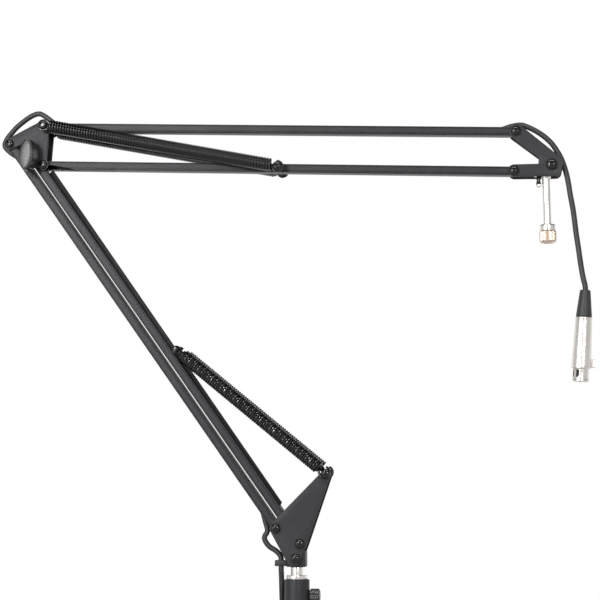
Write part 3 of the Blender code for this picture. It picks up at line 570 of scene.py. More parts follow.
OVER_HEAD = [(-28.5, 1.1), (-19.0, 1.8), (-12.3, 3.5), (-5.1, 5.8), (3.5, 7.1), (8.3, 6.1), (17.4, 1.7)]
OVER_HEAD += [(26.6, -4.7), (33.4, -11.4), (37.9, -18.1), (41.6, -24.8), (44.6, -32.6), (47.1, -41.7)]
OVER_HEAD += [(48.6, -49.5)]
OVER_HEAD += [(50.3, -61.3), (52.9, -77.2), (55.1, -97.1), (57.2, -112.9), (59.2, -128.7), (61.1, -140.5)]
head_cut = shifted(HEAD_TOP, (39.7, -21.8))
head_route = [head_low, *from_pivot(HEAD_TOP, OVER_HEAD), (XLR_TOP[0] + 0.1, XLR_TOP[1] + 2), xlr_inside]
head_loop, head_drop = in_two(smooth(flat(head_route), FINE), (head_cut[0], 0, head_cut[1]))
cable(
    "cable_head_over",
    head_loop,
    "upper_top",
    "cable_head_loop",
    blend=("head", (head_low[0], 0, head_low[1]), HEAD_LOOP_END),
)
drop = cable("cable_to_plug", head_drop, "head", "cable_drop")


def beside(distance, offset):
    """A point beside the outer lower tube: this far up it, and off it on its outer side."""
    point = along(along(BASE_OUTER, LOWER_SLOPE, distance), lower_out, offset)
    return (point[0], 0, point[1])


def coil_path():
    points = []
    count = round(COIL_TURNS * COIL_POINTS)
    turn_at = 4.0
    for k in range(count + 1):
        turns = k / COIL_POINTS
        radius = COIL_OUTER - COIL_PITCH * (turn_at - abs(turn_at - turns))
        climb = min(1, max(0, (turns - turn_at + 0.25) / 0.5))
        angle = 2 * math.pi * turns
        x = COIL_CENTRE[0] + radius * math.cos(angle)
        y = COIL_CENTRE[1] + radius * math.sin(angle)
        points.append(Vector((x, y, COIL_LOW + COIL_LAYER * climb)))
    return [points[0] + Vector((0, -CABLE, 0)), *points, points[-1] - Vector((CABLE, 0, 0))]


CLIP_X = -15.2
UP_THE_TUBE = ((38, 0.0), (31, 0.3), (22, 1.9), (12, 5.6), (3, 9.2))
base_route = [(base_high[0], 0, base_high[1]), *[beside(*place) for place in UP_THE_TUBE]]
base_route += [(-31.6, 0, 89.0), (-27.5, 0, 81.5), (-20.0, 0, 76.5), (CLIP_X - 0.5, 0, 71.5)]
base_route += [(CLIP_X, 0, 64.5), (CLIP_X, 0, 59.0), (CLIP_X, 2, 52.0), (-15.5, 6, 39), (-16, 11.5, 27)]
base_route += [(-16.7, 18.5, 16), (-17.3, 25.5, 8.4), (-17.7, 32, 4.8)]
coil_start = (COIL_CENTRE[0] + COIL_OUTER, COIL_CENTRE[1] - CABLE, COIL_LOW)
base_route += [(coil_start[0], coil_start[1] - 6, COIL_LOW), (coil_start[0], coil_start[1] - GAP, COIL_LOW)]
base_loop, base_drop = in_two(smooth(base_route, FINE), (CLIP_X, 0, 58))
cable(
    "cable_base_bend",
    base_loop,
    "lower_outer",
    "cable_base_loop",
    blend=("base", (base_high[0], 0, base_high[1]), BASE_LOOP_END),
)
coil_points = coil_path()
tail_start = coil_points[-1]
PLUG_AT = (-104.0, 81.0, 10.0)
tail = [(tail_start.x - GAP, tail_start.y, tail_start.z)]
tail += [(tail_start.x - 9, tail_start.y - 0.4, tail_start.z - 0.2)]
tail += [(-80, 86.3, 9.4), (-90, 83.2, 9.5), (-99, 81.2, 9.9), (-106, 81, 10), (-116, 81, 10)]
desk_points = [*base_drop[:-1], *coil_points, *smooth(tail, 4)]
desk_cord = cable(
    "cable_to_desk",
    desk_points,
    "base",
    "cable_base_drop",
    "cable_coil",
    "cable_tail",
    blend=("clamp", (CLIP_X, 0, 57.0), SWIVEL_BEND_END),
)


# Plugs: local z points from the plug to its cable
def plug(prefix, body, origin, turn, female):
    """A rubber boot and a metal barrel, with a latch window or a keyway cut in."""
    hole = CABLE / 2 + 0.05
    boot = [(hole, 0), (4.6, 0), (5.0, -0.5), (7.5, -24.6), (7.2, -25.6), (hole, -25.6)]
    mesh = placed(lathe(rounded(boot, 0.7, True), 48, True), origin, turn)
    boot = piece(prefix + "_sleeve", mesh, body, RUBBER, "rubber", prefix + "_boot")
    shell = [(0, -25.7), (7.9, -25.7), (8.05, -27.6), (7.75, -27.9), (7.8, -28.4)]
    if female:
        shell += [(9.4, -73.4), (9.2, -74.2), (7.5, -74.6), (7.5, -84.2), (7.9, -84.4), (7.9, -86.0)]
        shell += [(7.6, -86.3), (6.2, -86.3), (5.95, -85.9), (5.95, -60), (0, -60)]
    else:
        shell += [(9.35, -61.4), (9.5, -62.4), (9.5, -84.1), (9.2, -84.6), (8.4, -84.6), (8.1, -84.2)]
        shell += [(8.1, -66), (0, -66)]
    mesh = lathe(rounded(shell, 0.35), 64)
    cuts = []
    if female:
        for angle in (200, 245):
            wall = box((4, -1.5, -82.4), (9, 1.5, -75.2))
            wall.transform(Matrix.Rotation(math.radians(angle), 4, "Z"))
            cuts.append(wall)
        cuts.append(box((5, -2.3, -73.2), (14, 2.3, -64.8)))
    else:
        cuts.append(box((7.5, -1.5, -90), (8.8, 1.5, -70)))
    mesh = placed(worked(mesh, cut=cuts), origin, turn)
    shell = piece(prefix + "_barrel", mesh, body, BARREL, "nickel", prefix + "_shell", sharp=30)
    return boot, shell


PIN_CIRCLE = 3.3
PIN_ANGLES = [math.radians(a) for a in (90, 210, 330)]
PIN_PLACES = [(PIN_CIRCLE * math.cos(a), PIN_CIRCLE * math.sin(a)) for a in PIN_ANGLES]
LATCH_STEP = (10, 0, -69)
plug_at = (XLR_TOP[0], 0, XLR_TOP[1])
plug_turn = (0, XLR_LEAN, 0)
female = plug("xlr_female", "head", plug_at, plug_turn, True)
core = lathe(rounded([(0, -60.3), (5.6, -60.3), (5.6, -85.8), (0, -85.8)], 0.3), 48)
core = worked(core, cut=[rod((x, y, -72), (x, y, -90), 1.45, 20) for x, y in PIN_PLACES])
core = placed(core, plug_at, plug_turn)
core = piece("xlr_female_core", core, "head", PLASTIC, "plastic", "xlr_female_insert")
for k, (x, y) in enumerate(PIN_PLACES):
    lining = [(1.15, -72.2), (1.4, -72.2), (1.4, -85.0), (1.15, -85.0)]
    mesh = placed(placed(lathe(lining, 20, True), (x, y, 0)), plug_at, plug_turn)
    piece(f"xlr_female_contact_{k + 1}", mesh, "head", CONTACT, "brass")
latch_at = Vector(plug_at) + Matrix.Rotation(XLR_LEAN, 3, "Y") @ Vector(LATCH_STEP)
tab = worked(box((-2.1, -2, -3.9), (2.6, 2, 3.9)), cut=[rod((3.4, -4, 0.6), (3.4, 4, 0.6), 1.5)], bevel=0.35)
tab = placed(tab, latch_at, plug_turn)
latch = piece("xlr_latch_tab", tab, "latch", BARREL, "nickel", "xlr_female_latch")

male_turn = (0, math.pi / 2, 0)
male = plug("xlr_male", "clamp", PLUG_AT, male_turn, False)
seat = lathe(rounded([(0, -66.3), (7.8, -66.3), (7.8, -70), (0, -70)], 0.3), 48)
seat = placed(seat, PLUG_AT, male_turn)
seat = piece("xlr_male_core", seat, "clamp", PLASTIC, "plastic", "xlr_male_insert")
for k, (x, y) in enumerate(PIN_PLACES):
    pin = lathe([(0, -69.5), (1.2, -69.5), (1.2, -81.0), (0.9, -81.8), (0.4, -82), (0, -82)], 24)
    mesh = placed(placed(pin, (x, y, 0)), PLUG_AT, male_turn)
    piece(f"xlr_male_pin_{k + 1}", mesh, "clamp", CONTACT, "nickel")

TIE_CORNERS = ((-39.0, 0.6, -1, -1), (-13.6, 0.6, 1, -1), (-13.6, 13.3, 1, 1), (-39.0, 13.3, -1, 1))
outer = rounded([(x + right * 0.7, z + up * 0.5) for x, z, right, up in TIE_CORNERS], 3, True)
inner = rounded([(x - right * 0.3, z - up * 0.4) for x, z, right, up in TIE_CORNERS], 2.6, True)
strap = worked(prism(outer, -3, 3), cut=[prism(inner, -4, 4)], bevel=0.2)
strap = placed(strap, (*COIL_CENTRE, 0))
strap = piece("cable_strap", strap, "clamp", PAD, "plastic", "coil_tie")


# Plates, tubes and bolts
PLATE_RIM = 0.45
DOME_STEPS = 8
BOLT_RIM = 0.9


def plates(name, body, circles, holes, *nodes):
    """The front and rear plate of a body, with rounded rims and a bore for each bolt."""
    for side, node in zip((-1, 1), nodes):
        low, high = sorted((side * PLATE_IN, side * PLATE_OUT))
        bores = [(x, z, BOLT + BOLT_CLEARANCE) for x, z in holes]
        mesh = slab(circles, bores, rounded_sides(low, high, PLATE_RIM))
        piece(f"{name}_{'front' if side < 0 else 'rear'}", mesh, body, COAT, "coat", node)


def bolt(name, node, body, point, head_in=HEAD_IN, nut_in=HEAD_IN, sleeve=None, radius=4.5):
    """Button head with a hex socket, shank and nut, and a washer under the head where it sits on a plate."""
    top = head_in + HEAD_HEIGHT
    end = nut_in + NUT_HEIGHT + 0.8
    profile = [(0, top)]
    for k in range(1, DOME_STEPS + 1):
        angle = math.pi / 2 * k / DOME_STEPS
        rise = (HEAD_HEIGHT - BOLT_RIM) * math.cos(angle)
        profile.append((radius * math.sin(angle), head_in + BOLT_RIM + rise))
    profile += [(radius, head_in + 0.25), (radius - 0.25, head_in - 0.2), (BOLT, head_in - 0.2)]
    if sleeve:
        wide, near, far = sleeve
        profile += [(BOLT, far), (wide, far), (wide, near), (BOLT, near)]
        profile += [(BOLT, -near), (wide, -near), (wide, -far), (BOLT, -far)]
    profile += [(BOLT, -end), (1.6, -end - 0.3), (0, -end - 0.3)]
    mesh = lathe(profile, 40)
    nut = worked(rod((0, 0, -nut_in + 0.2), (0, 0, -nut_in - NUT_HEIGHT), 4.3, 6), bevel=0.3)
    mesh = worked(mesh, add=[nut], cut=[rod((0, 0, top - 1.9), (0, 0, top + 1), radius * 0.4, 6)])
    place = (point[0], 0, point[1])
    piece(name, placed(mesh, place, (math.pi / 2, 0, 0)), body, BLACK_STEEL, "black_steel", node)
    if head_in == HEAD_IN:
        ring = [(BOLT + 0.1, HEAD_IN - 0.05), (radius + 1.0, HEAD_IN - 0.05)]
        ring += [(radius + 1.15, PLATE_OUT + 0.02), (BOLT + 0.1, PLATE_OUT + 0.02)]
        washer = placed(lathe(ring, 40, True), place, (math.pi / 2, 0, 0))
        piece(name + "_washer", washer, body, COAT, "coat")


base_circles = [(*BASE_OUTER, 6.0, 1), (-2.0, 68.0, 6.5, 1), (*BASE_INNER, 6.5, 1), (*BASE_SPRING, 4.2, 1)]
BLOCK_BOLT = (0.0, 70.0)
base_holes = [BASE_OUTER, BASE_INNER, BASE_SPRING, BLOCK_BOLT]
plates("base_cheek", "base", base_circles, base_holes, "base_plate_front", "base_plate_rear")
bolt("base_screw_block", "base_block_bolt", "base", BLOCK_BOLT)
bolt("base_screw_outer", "base_bolt_outer", "base", BASE_OUTER)
bolt("base_screw_inner", "base_bolt_inner", "base", BASE_INNER)
bolt("base_screw_spring", "base_spring_bolt", "base", BASE_SPRING, LOWER_RING_HEAD, LOWER_RING_HEAD)

elbow_circles = [
    (*ELBOW_OUTER, 5.7, 1),
    (ELBOW_OUTER[0] + 14.0, ELBOW_OUTER[1] - 3.2, 3.0, -1),
    (*ELBOW_INNER, 6.0, 1),
    (UPPER_BOTTOM[0] - 1.6, UPPER_BOTTOM[1], 4.9, 1),
    (UPPER_TOP[0] - 2.2, UPPER_TOP[1], 6.4, 1),
]
elbow_holes = [ELBOW_OUTER, ELBOW_INNER, UPPER_BOTTOM, UPPER_TOP]
plates("elbow_cheek", "elbow", elbow_circles, elbow_holes, "elbow_plate_front", "elbow_plate_rear")
bolt("elbow_screw_lower", "elbow_bolt_lower", "elbow", ELBOW_OUTER)
bolt("elbow_screw_bottom", "elbow_bolt_bottom", "elbow", UPPER_BOTTOM)
upper_sleeve = (SLEEVE, HEAD_IN, SLEEVE_END)
bolt("elbow_screw_upper", "elbow_bolt_upper", "elbow", UPPER_TOP, RING_HEAD, RING_HEAD, upper_sleeve)

HEAD_OUTLINE = [
    (-0.9, -1.1, 5.5, 1),
    (20.15, -25.6, 0.8, -1),
    (20.15, -31.4, 0.8, -1),
    (*HEAD_LINK, 5.8, 1),
    (36.9, -38.9, 5.4, 1),
    (37.0, -31.6, 6.9, 1),
    (0.9, 1.2, 5.5, 1),
]
head_circles = [(HEAD_TOP[0] + x, HEAD_TOP[1] + z, radius, turn) for x, z, radius, turn in HEAD_OUTLINE]
head_holes = [HEAD_TOP, HEAD_BOTTOM, POST_PIVOT]
plates("head_cheek", "head", head_circles, head_holes, "head_plate_front", "head_plate_rear")
bolt("head_screw_top", "head_bolt_top", "head", HEAD_TOP)
bolt("head_screw_bottom", "head_bolt_bottom", "head", HEAD_BOTTOM)
bolt("head_screw_main", "head_main_bolt", "head", POST_PIVOT, radius=5.1)

# A tube's front and rear faces have a fine groove just inside the rounded rim
GROOVE = ((1.1, 0.0), (1.15, 0.85), (1.95, 0.85), (2.0, 0.0))


def arm_tube(name, node, body, point, slope, holes=(), add=(), cut=()):
    half = TUBE_WIDTH / 2
    depth = TUBE_DEPTH / 2
    rear = [(inset, depth - down) for inset, down in GROOVE]
    front = [(inset, down - depth) for inset, down in reversed(GROOVE)]
    profile = [*front, *rounded_sides(-depth, depth, 0.9), *rear]
    circles = [(0, 0, half, 1), (ARM_LENGTH, 0, half, 1)]
    bores = [(x, 0, BOLT - 0.35) for x in (0, ARM_LENGTH, *holes)]
    inner = half - TUBE_WALL
    void = box((-10, TUBE_WALL - depth, -inner), (ARM_LENGTH + 10, depth - TUBE_WALL, inner))
    mesh = worked(slab(circles, bores, profile, 0.02), add=add, cut=[void, *cut])
    mesh = placed(mesh, (point[0], 0, point[1]), (0, -slope, 0))
    return piece(name, mesh, body, COAT, "coat", node, sharp=30)


# The cable passes through a slot at each end of its two tubes
SLOT = 32.0
slot_runs = ((-8, SLOT), (ARM_LENGTH - SLOT, ARM_LENGTH + 8))
slots = [box((start, -3.1, 2), (end, 3.1, 6)) for start, end in slot_runs]
arm_tube("lower_tube_outer", "lower_outer_tube", "lower_outer", BASE_OUTER, LOWER_SLOPE, cut=slots)
arm_tube("upper_tube_top", "upper_top_tube", "upper_top", UPPER_TOP, UPPER_SLOPE, cut=slots)

# The rail on the inner lower tube, with the lug that carries the springs' pin
edge = TUBE_WIDTH / 2
rail_low, rail_high = 40.0, ARM_LENGTH - 21.0
rail_points = [(rail_low, -edge + 0.5), (rail_low + 2, -edge - 3.2)]
rail_points += [(rail_high, -edge - 5.0), (rail_high, -edge + 0.5)]
pin_x = ARM_LENGTH - LOWER_SPRING_FROM_TOP
rail = worked(prism(rail_points, -1.7, -0.4), bevel=0.25)
lug_circles = [(pin_x + step, -LOWER_SPRING_OFFSET, 3.2, 1) for step in (-0.01, 0.01)]
lug = slab(lug_circles, [], [(0.2, -1.9), (0, -1.7), (0, -0.45), (0.2, -0.25)])
pin_bore = rod((pin_x, -3, -LOWER_SPRING_OFFSET), (pin_x, 3, -LOWER_SPRING_OFFSET), PIN_RADIUS + 0.1)
rail = worked(rail, add=[lug], cut=[pin_bore])
rail = placed(rail, (BASE_INNER[0], 0, BASE_INNER[1]), (0, -LOWER_SLOPE, 0))
# The rail wears the darker coat, which is painted shade
piece("lower_rail", rail, "lower_inner", RAIL_SHADED_COAT, "coat", sharp=30)

# Where the inner lower and the bottom upper tube cross at the elbow, each is cut back to half its depth
relief = Matrix.Rotation(-LOWER_SLOPE, 2) @ (Vector(UPPER_BOTTOM) - Vector(BASE_INNER))
LAP_REAR = [(9, -14), (9, 9), (-30, 9), (-30, -1.2), (-55, -4.5), (-55, -14)]
arm_tube(
    "lower_tube_inner",
    "lower_inner_tube",
    "lower_inner",
    BASE_INNER,
    LOWER_SLOPE,
    cut=[
        prism([(ARM_LENGTH + x, z) for x, z in LAP_REAR], -0.2, 9),
        rod((relief.x, -9, relief.y), (relief.x, 9, relief.y), 3.8, 48),
    ],
)
LAP_FRONT = [(-9, -9), (-9, 9), (2.2, 9), (2.2, 1.0), (40, -4.7), (40, -9)]
RAIL_SLOT = [(7.2, -9), (7.2, 9), (9.5, 9), (9.5, 4.9), (78, -4.7), (78, -9)]
arm_tube(
    "upper_tube_bottom",
    "upper_bottom_tube",
    "upper_bottom",
    UPPER_BOTTOM,
    UPPER_SLOPE,
    (UPPER_SPRING_FROM_ELBOW,),
    cut=[prism(LAP_FRONT, -9, 0.2), prism(RAIL_SLOT, -2.0, 0.2)],
)
spring_sleeve = (SLEEVE, TUBE_DEPTH / 2 + GAP, SLEEVE_END)
bolt(
    "arm_screw_spring", "upper_spring_bolt", "upper_bottom", UPPER_SPRING, RING_HEAD, RING_HEAD, spring_sleeve
)
pin = [(0, PIN_HEAD + 0.8), (2.2, PIN_HEAD + 0.8), (2.2, PIN_HEAD), (PIN_RADIUS, PIN_HEAD)]
pin += [(radius, -z) for radius, z in reversed(pin)]
mesh = placed(lathe(rounded(pin, 0.3), 32), (LOWER_SPRING[0], 0, LOWER_SPRING[1]), (math.pi / 2, 0, 0))
piece("spring_pin", mesh, "lower_inner", BLACK_STEEL, "black_steel", "lower_spring_pin")


def spring_path(start, end, rings, pins, curls, ramps):
    """A hook ring, the curls, which widen and narrow over so many turns as ramps says, and a hook ring."""
    start, end = Vector(start), Vector(end)
    run = (end - start).normalized()
    side = run.cross(Vector((0, 1, 0))).normalized()
    deep = run.cross(side)
    centres = []
    for anchor, ring, pin, toward in zip((start, end), rings, pins, (1, -1)):
        centres.append(anchor + run * toward * (ring - WIRE / 2 - pin - GAP))
    points = []
    for k in range(HOOK_POINTS):
        angle = math.radians(360 - HOOK_SWEEP + HOOK_SWEEP * k / HOOK_POINTS)
        points.append(centres[0] + rings[0] * (math.cos(angle) * run + math.sin(angle) * side))
    first = centres[0] + run * rings[0]
    last = centres[1] - run * rings[1]
    count = curls * CURL_POINTS
    for k in range(count + 1):
        angle = 2 * math.pi * k / CURL_POINTS
        radius = SPRING_RADIUS * min(1, k / (ramps[0] * CURL_POINTS), (count - k) / (ramps[1] * CURL_POINTS))
        out = math.cos(angle) * side + math.sin(angle) * deep
        points.append(first.lerp(last, k / count) + radius * out)
    for k in range(1, HOOK_POINTS + 1):
        angle = math.radians(180 + HOOK_SWEEP * k / HOOK_POINTS)
        points.append(centres[1] + rings[1] * (math.cos(angle) * run + math.sin(angle) * side))
    return points


for where, side in (("front", -1), ("rear", 1)):
    start = (UPPER_TOP[0], side * UPPER_SPRING_Y, UPPER_TOP[1])
    end = (UPPER_SPRING[0], side * UPPER_SPRING_Y, UPPER_SPRING[1])
    points = spring_path(start, end, (UPPER_RING, UPPER_RING), (SLEEVE, SLEEVE), UPPER_CURLS, (0.6, 0.6))
    wire = tube(points, COIL_WIRE / 2, 10)
    blend = ("upper_bottom", *[Vector(start).lerp(Vector(end), share) for share in UPPER_TURN])
    node = "upper_spring_" + where
    piece("upper_coils_" + where, wire, "elbow", SPRING_STEEL, "spring_steel", node, blend=blend)
    start = (LOWER_SPRING[0], side * LOWER_SPRING_TOP_Y, LOWER_SPRING[1])
    end = (BASE_SPRING[0], side * LOWER_SPRING_BASE_Y, BASE_SPRING[1])
    points = spring_path(start, end, LOWER_RINGS, (PIN_RADIUS, BOLT), LOWER_CURLS, (3.0, 1.0))
    wire = tube(points, COIL_WIRE / 2, 8)
    blend = ("lower_inner", *[Vector(end).lerp(Vector(start), share) for share in LOWER_TURN])
    node = "lower_spring_" + where
    piece("lower_coils_" + where, wire, "base", SPRING_STEEL, "spring_steel", node, blend=blend)

# Elbow knob and its bolt
KNOB_LEAN = math.radians(5.5)
knob_at = (ELBOW_INNER[0], 0, ELBOW_INNER[1])
bolt_profile = [(0, 24), (BOLT, 24), (BOLT, -HEAD_IN + 0.2), (4.5, -HEAD_IN + 0.2), (4.5, -HEAD_IN - 1.8)]
bolt_profile += [(3.2, -HEAD_IN - 3), (0, -HEAD_IN - 3.2)]
mesh = placed(lathe(rounded(bolt_profile, 0.4), 40), knob_at, (math.pi / 2, 0, 0))
piece("knob_bolt", mesh, "elbow", BLACK_STEEL, "black_steel", "elbow_knob_bolt")


def wing():
    """Ovals (y, width, height) from the hub outwards along -y, narrower towards the face, with soft rims."""
    rings = [(-14.0, 16.2, 27.8), (-14.5, 17.0, 28.7), (-15.4, 17.5, 29.4), (-18.0, 17.8, 31.0)]
    rings += [(-28.0, 14.2, 31.4), (-29.2, 13.7, 31.0), (-30.0, 12.9, 30.2), (-30.4, 11.6, 28.6)]
    rings += [(-30.6, 9.2, 24.5), (-30.7, 4.6, 13.0)]
    count = 64
    shape = bmesh.new()
    loops = []
    for y, wide, tall in rings:
        steps = [2 * math.pi * k / count for k in range(count)]
        loops.append(add_loop(shape, [(wide / 2 * math.cos(a), tall / 2 * math.sin(a)) for a in steps], y))
    for low, high in zip(loops, loops[1:]):
        add_wall(shape, low, high)
    shape.faces.new(loops[0])
    shape.faces.new(loops[-1])
    return mesh_of(shape)


hub = lathe(rounded([(0, HEAD_IN + GAP), (7.8, HEAD_IN + GAP), (7.8, 15.5), (0, 15.5)], 0.8), 48)
hub = placed(hub, turn=(math.pi / 2, 0, 0))
mesh = worked(wing(), add=[hub], cut=[rod((0, -HEAD_IN + 1, 0), (0, -24.5, 0), 5.0)])
mesh = placed(mesh, knob_at, (0, KNOB_LEAN, 0))
piece("elbow_wing_knob", mesh, "knob", KNOB, "knob", "elbow_knob", sharp=30)

# Head: stop screw with its block and bright tip, and the leaning post with its collar and ring
STOP_FROM_HEAD = (20.7, -43.8)
stop_x, stop_z = shifted(HEAD_TOP, STOP_FROM_HEAD)
stop_at = (stop_x, 0, stop_z)
stop = [(0, 1), (1.9, 1), (1.9, -5.0), (2.4, -5.6), (2.4, -8.3), (1.9, -8.7), (1.6, -9.6), (0, -9.8)]
stop_block = worked(box((-4.2, -7, 0.2), (1.2, 7, 6)), bevel=0.4)
stop = placed(worked(lathe(rounded(stop, 0.25), 32), add=[stop_block]), stop_at)
piece("head_stop", stop, "head", BLACK_STEEL, "black_steel", "head_stop_screw", sharp=30)
tip = [(0, -6.9), (2.45, -6.9), (2.45, -8.35), (1.95, -8.75), (1.65, -9.65), (0, -9.85)]
piece("head_stop_tip", placed(lathe(rounded(tip, 0.2), 32), stop_at), "head", NICKEL, "nickel", sharp=30)
POST_LEAN = math.radians(1.15)
SHAFT_LENGTH = 50.0
shaft_at = (POST_PIVOT[0] - 5.6, 0, POST_PIVOT[1] - 11.8)
post_turn = (0, -POST_LEAN, 0)
eye = slab(
    [(POST_PIVOT[0] - 0.01, POST_PIVOT[1], 6.6, 1), (POST_PIVOT[0] + 0.01, POST_PIVOT[1], 6.6, 1)],
    [(*POST_PIVOT, BOLT + 0.05)],
    rounded_sides(-5, 5, 0.6),
)
shaft = [(0, 8.5), (4.7, 8.5), (4.7, 0.2), (3.8, -0.2), (3.8, -44.0), (3.6, -44.4), (3.6, -49.2), (0, -49.2)]
shaft = placed(lathe(rounded(shaft, 0.4), 48), shaft_at, post_turn)
piece("post_shaft", worked(eye, add=[shaft]), "post", NICKEL, "nickel", "mic_post", sharp=30)
thread_x = shaft_at[0] + SHAFT_LENGTH * math.sin(POST_LEAN)
thread_at = (thread_x, 0, shaft_at[2] - SHAFT_LENGTH * math.cos(POST_LEAN))
collar = [(3.65, 5.4), (6.8, 5.4), (7.5, 4.7), (7.5, -0.6), (3.65, -0.6)]
collar = placed(lathe(rounded(collar, 0.5, True), 64, True), thread_at, post_turn)
piece("post_collar", collar, "post", NICKEL, "nickel", "thread_adapter")
ring = [(0, -0.7), (7.3, -0.7), (7.9, -1.4), (7.9, -1.5), (7.9, -9.9), (7.9, -10.0), (7.4, -11.3)]
ring += [(6.6, -12.0), (5.0, -12.2), (4.6, -11.0), (0, -11.0)]
ring = placed(lathe(ring, 144, knurl=(-9.95, -1.45, 0.22)), thread_at, post_turn)
piece("post_ring", ring, "post", BRASS, "brass")

# Clamp: frame with its boss, pad, bushing, foot, screw, bar and lock screw
BOSS_TOP = 50.0
LOCK_UP = 35
BAR_UP = -112
frame_turn = Matrix.Rotation(math.pi / 2, 4, "Z")
outline = [(-36, -70), (-34, -72), (12, -72), (12, -62), (-25, -62), (-27, -60), (-27, 0.3), (-25, 2.3)]
outline += [(16, 2.3), (16, 10.3), (-34, 10.3), (-36, 8.3)]
body = prism(rounded(outline, 2.6, True), -11, 11)
body.transform(frame_turn)
boss = lathe(rounded([(0, BOSS_TOP), (12, BOSS_TOP), (12, 3.3), (0, 3.3)], 0.8), 64)
mesh = worked(
    worked(body, bevel=0.9, segments=3),
    add=[boss],
    cut=[
        rod((0, 0, 12), (0, 0, BOSS_TOP + 1), 7.6, 48),
        rod((0, 0, -73), (0, 0, -61), 4.3, 48),
        rod((5, 0, LOCK_UP), (14, 0, LOCK_UP), 2.3),
    ],
)
piece("clamp_body", mesh, "clamp", COAT, "coat", "clamp_frame", sharp=30)
grooves = [box((-12, y, -1), (12, y + 1.2, 0.5)) for y in range(-12, 12, 3)]
grip = worked(box((-11, -14, 0), (11, 14, 2.2)), cut=grooves)
piece("clamp_grip_pad", worked(grip, bevel=0.2), "clamp", PAD, "rubber", "clamp_top_pad")
bushing = [(6.3, BOSS_TOP + 0.25), (8.6, BOSS_TOP + 0.25), (8.6, BOSS_TOP + 0.02), (7.5, BOSS_TOP)]
bushing += [(7.5, 12.3), (6.3, 12.3)]
piece("post_bushing", lathe(bushing, 48, True), "clamp", PLASTIC, "plastic", "socket_bushing")
foot = [(0, -25), (9.5, -25), (10.2, -25.3), (10.2, -26.2), (11, -26.6), (11, -30.4), (10.4, -31), (5.6, -31)]
foot += [(5.6, -31.7), (4.35, -31.7), (4.35, -27.7), (0, -27.7)]
piece("clamp_foot_pad", lathe(rounded(foot, 0.3), 48), "foot", PAD, "rubber", "clamp_foot")


def threaded(radius, depth, pitch, high, low, steps=28, rows_per_turn=6):
    """A rod with a screw thread round local z."""
    shape = bmesh.new()
    rows = round((high - low) / pitch * rows_per_turn)
    loops = []
    for row in range(rows + 1):
        z = high - (high - low) * row / rows
        loop = []
        for k in range(steps):
            phase = (z / pitch - k / steps) % 1
            inset = depth * abs(2 * phase - 1) * min(1, row / 5, (rows - row) / 5)
            loop.append(shape.verts.new(around(radius - inset, 2 * math.pi * k / steps, z)))
        loops.append(loop)
    for a, b in zip(loops, loops[1:]):
        add_wall(shape, a, b)
    shape.faces.new(loops[0])
    shape.faces.new(loops[-1])
    return mesh_of(shape)


thread = threaded(4.0, 0.75, 2.0, -28.0, -103.0)
hub = [(0, -102.5), (4.2, -102.5), (4.2, -104), (5.5, -105), (5.5, -118.5), (4.5, -119.5), (0, -119.5)]
hub = worked(lathe(rounded(hub, 0.4), 40), cut=[rod((-8, 0, BAR_UP), (8, 0, BAR_UP), 2.8)])
piece("clamp_spindle", thread, "screw", NICKEL, "nickel", "clamp_screw", sharp=50)
piece("clamp_spindle_hub", hub, "screw", NICKEL, "nickel", sharp=30)
bar = [(0, 32.5), (4, 32.5), (4, 27.5), (2.5, 27.5), (2.5, -27.5), (4, -27.5), (4, -32.5), (0, -32.5)]
bar = placed(lathe(rounded(bar, 0.8, steps=4), 32), (0, 0, BAR_UP), (0, math.pi / 2, 0))
piece("clamp_bar", bar, "handle_bar", NICKEL, "nickel", "clamp_handle_bar", sharp=30)
lock = [(0, 22), (4.8, 22), (6.4, 21.2), (6.5, 20.6), (6.5, 13.9), (6.2, 13.3), (5.5, 12.5), (2, 12.5)]
lock += [(2, 6.4), (0, 6.4)]
lock = placed(lathe(lock, 56, knurl=(13.8, 20.7, 0.45)), (0, 0, LOCK_UP), (0, math.pi / 2, 0))
piece("post_lock_screw", lock, "lock_screw", KNOB, "knob", "socket_lock_screw", sharp=25)

# Base: post, block and cable clip
post = [(0, 61.7), (6, 61.7), (6, 54.2), (6.2, 54), (10, 54), (10, 50.3), (6, 50.3), (6, 12.9), (5.4, 12.3)]
post += [(0, 12.3)]
piece("base_pivot_post", lathe(rounded(post, 0.5), 48), "base", NICKEL, "nickel", "base_post", sharp=30)
block = worked(box((-9, -7, 61.9), (9, 7, 77)), bevel=0.6)
piece("base_spacer", block, "base", COAT, "coat", "base_block")
clip_bore = rod((CLIP_X, 0, 60), (CLIP_X, 0, 73), CABLE / 2 + GAP)
clip = worked(box((CLIP_X - 5.5, -5, 62.5), (-9.3, 5, 68)), cut=[clip_bore])
piece("base_cable_clip", worked(clip, bevel=0.5), "base", PLASTIC, "plastic", "cable_clip")

# Desk top, world and lamps
desk = worked(box((-330, -24, -25), (330, 360, 0)), bevel=1.5)
desk.materials.append(DESK)
desk.shade_smooth()
desk.set_sharp_from_angle(angle=math.radians(38))
desk = bpy.data.objects.new("desk_slab", desk)
bpy.context.scene.collection.objects.link(desk)

world = bpy.data.worlds.new("studio")
bpy.context.scene.world = world
world.use_nodes = True
nodes, links = world.node_tree.nodes, world.node_tree.links
nodes.clear()
path = nodes.new("ShaderNodeLightPath")
seen = nodes.new("ShaderNodeMath")
seen.operation = "MAXIMUM"
links.new(path.outputs["Is Camera Ray"], seen.inputs[0])
links.new(path.outputs["Is Transmission Ray"], seen.inputs[1])
where = nodes.new("ShaderNodeSeparateXYZ")
links.new(nodes.new("ShaderNodeTexCoord").outputs["Generated"], where.inputs[0])


def ranged(source, low, high, first, last):
    found = nodes.new("ShaderNodeMapRange")
    for name, value in zip(("From Min", "From Max", "To Min", "To Max"), (low, high, first, last)):
        found.inputs[name].default_value = value
    links.new(source, found.inputs["Value"])
    return found.outputs["Result"]


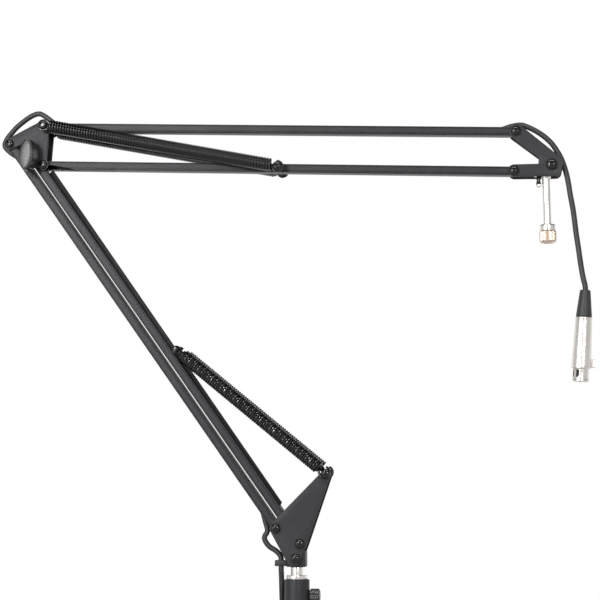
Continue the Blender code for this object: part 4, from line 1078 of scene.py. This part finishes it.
def combined(operation, first, second):
    found = nodes.new("ShaderNodeMath")
    found.operation = operation
    links.new(first, found.inputs[0])
    links.new(second, found.inputs[1])
    return found.outputs[0]


# The camera sees white. Reflections see white low behind the object, and elsewhere grey that darkens upwards
behind = ranged(where.outputs["Y"], 0.1, 0.45, 0, 1)
low = ranged(where.outputs["Z"], 0.3, 0.14, 0, 1)
backdrop = combined("MULTIPLY", behind, low)
glossy = path.outputs["Is Glossy Ray"]
backdrop = combined("MULTIPLY", backdrop, ranged(glossy, 0, 1, 0.5, 1))
shown = combined("MAXIMUM", seen.outputs[0], backdrop)
level = combined("MULTIPLY", ranged(where.outputs["Z"], 0.25, 0.6, 1, 0.12), ranged(glossy, 0, 1, 0.1, 0.66))
room = nodes.new("ShaderNodeBackground")
room.inputs["Color"].default_value = (1, 1, 1, 1)
links.new(level, room.inputs["Strength"])
white = nodes.new("ShaderNodeBackground")
white.inputs["Color"].default_value = (1, 1, 1, 1)
white.inputs["Strength"].default_value = 1.0
mix = nodes.new("ShaderNodeMixShader")
links.new(shown, mix.inputs["Fac"])
links.new(room.outputs[0], mix.inputs[1])
links.new(white.outputs[0], mix.inputs[2])
links.new(mix.outputs[0], nodes.new("ShaderNodeOutputWorld").inputs["Surface"])


def lamp(name, location, target, size, radiance, colour=(1, 1, 1)):
    """A soft box of (width, height) in metres that shines at the target with this radiance."""
    data = bpy.data.lights.new(name, "AREA")
    data.shape = "RECTANGLE"
    data.size, data.size_y = size
    data.energy = radiance * math.pi * size[0] * size[1]
    data.color = colour
    obj = bpy.data.objects.new(name, data)
    obj.location = location
    obj.rotation_euler = (Vector(target) - Vector(location)).to_track_quat("-Z", "Y").to_euler()
    bpy.context.scene.collection.objects.link(obj)


CENTRE = (0.0, 0.0, 0.35)
lamp("key_left", (-1.2, -1.9, 0.35), CENTRE, (1.2, 1.3), 3.0)
lamp("glint_left", (-0.75, -2.1, 0.85), CENTRE, (0.3, 0.4), 34)
lamp("high_front", (0.0, -1.8, 2.5), CENTRE, (3.2, 0.35), 12)
lamp("glint_right", (0.95, -2.1, 0.65), CENTRE, (0.3, 0.4), 26, (1.0, 0.96, 0.92))
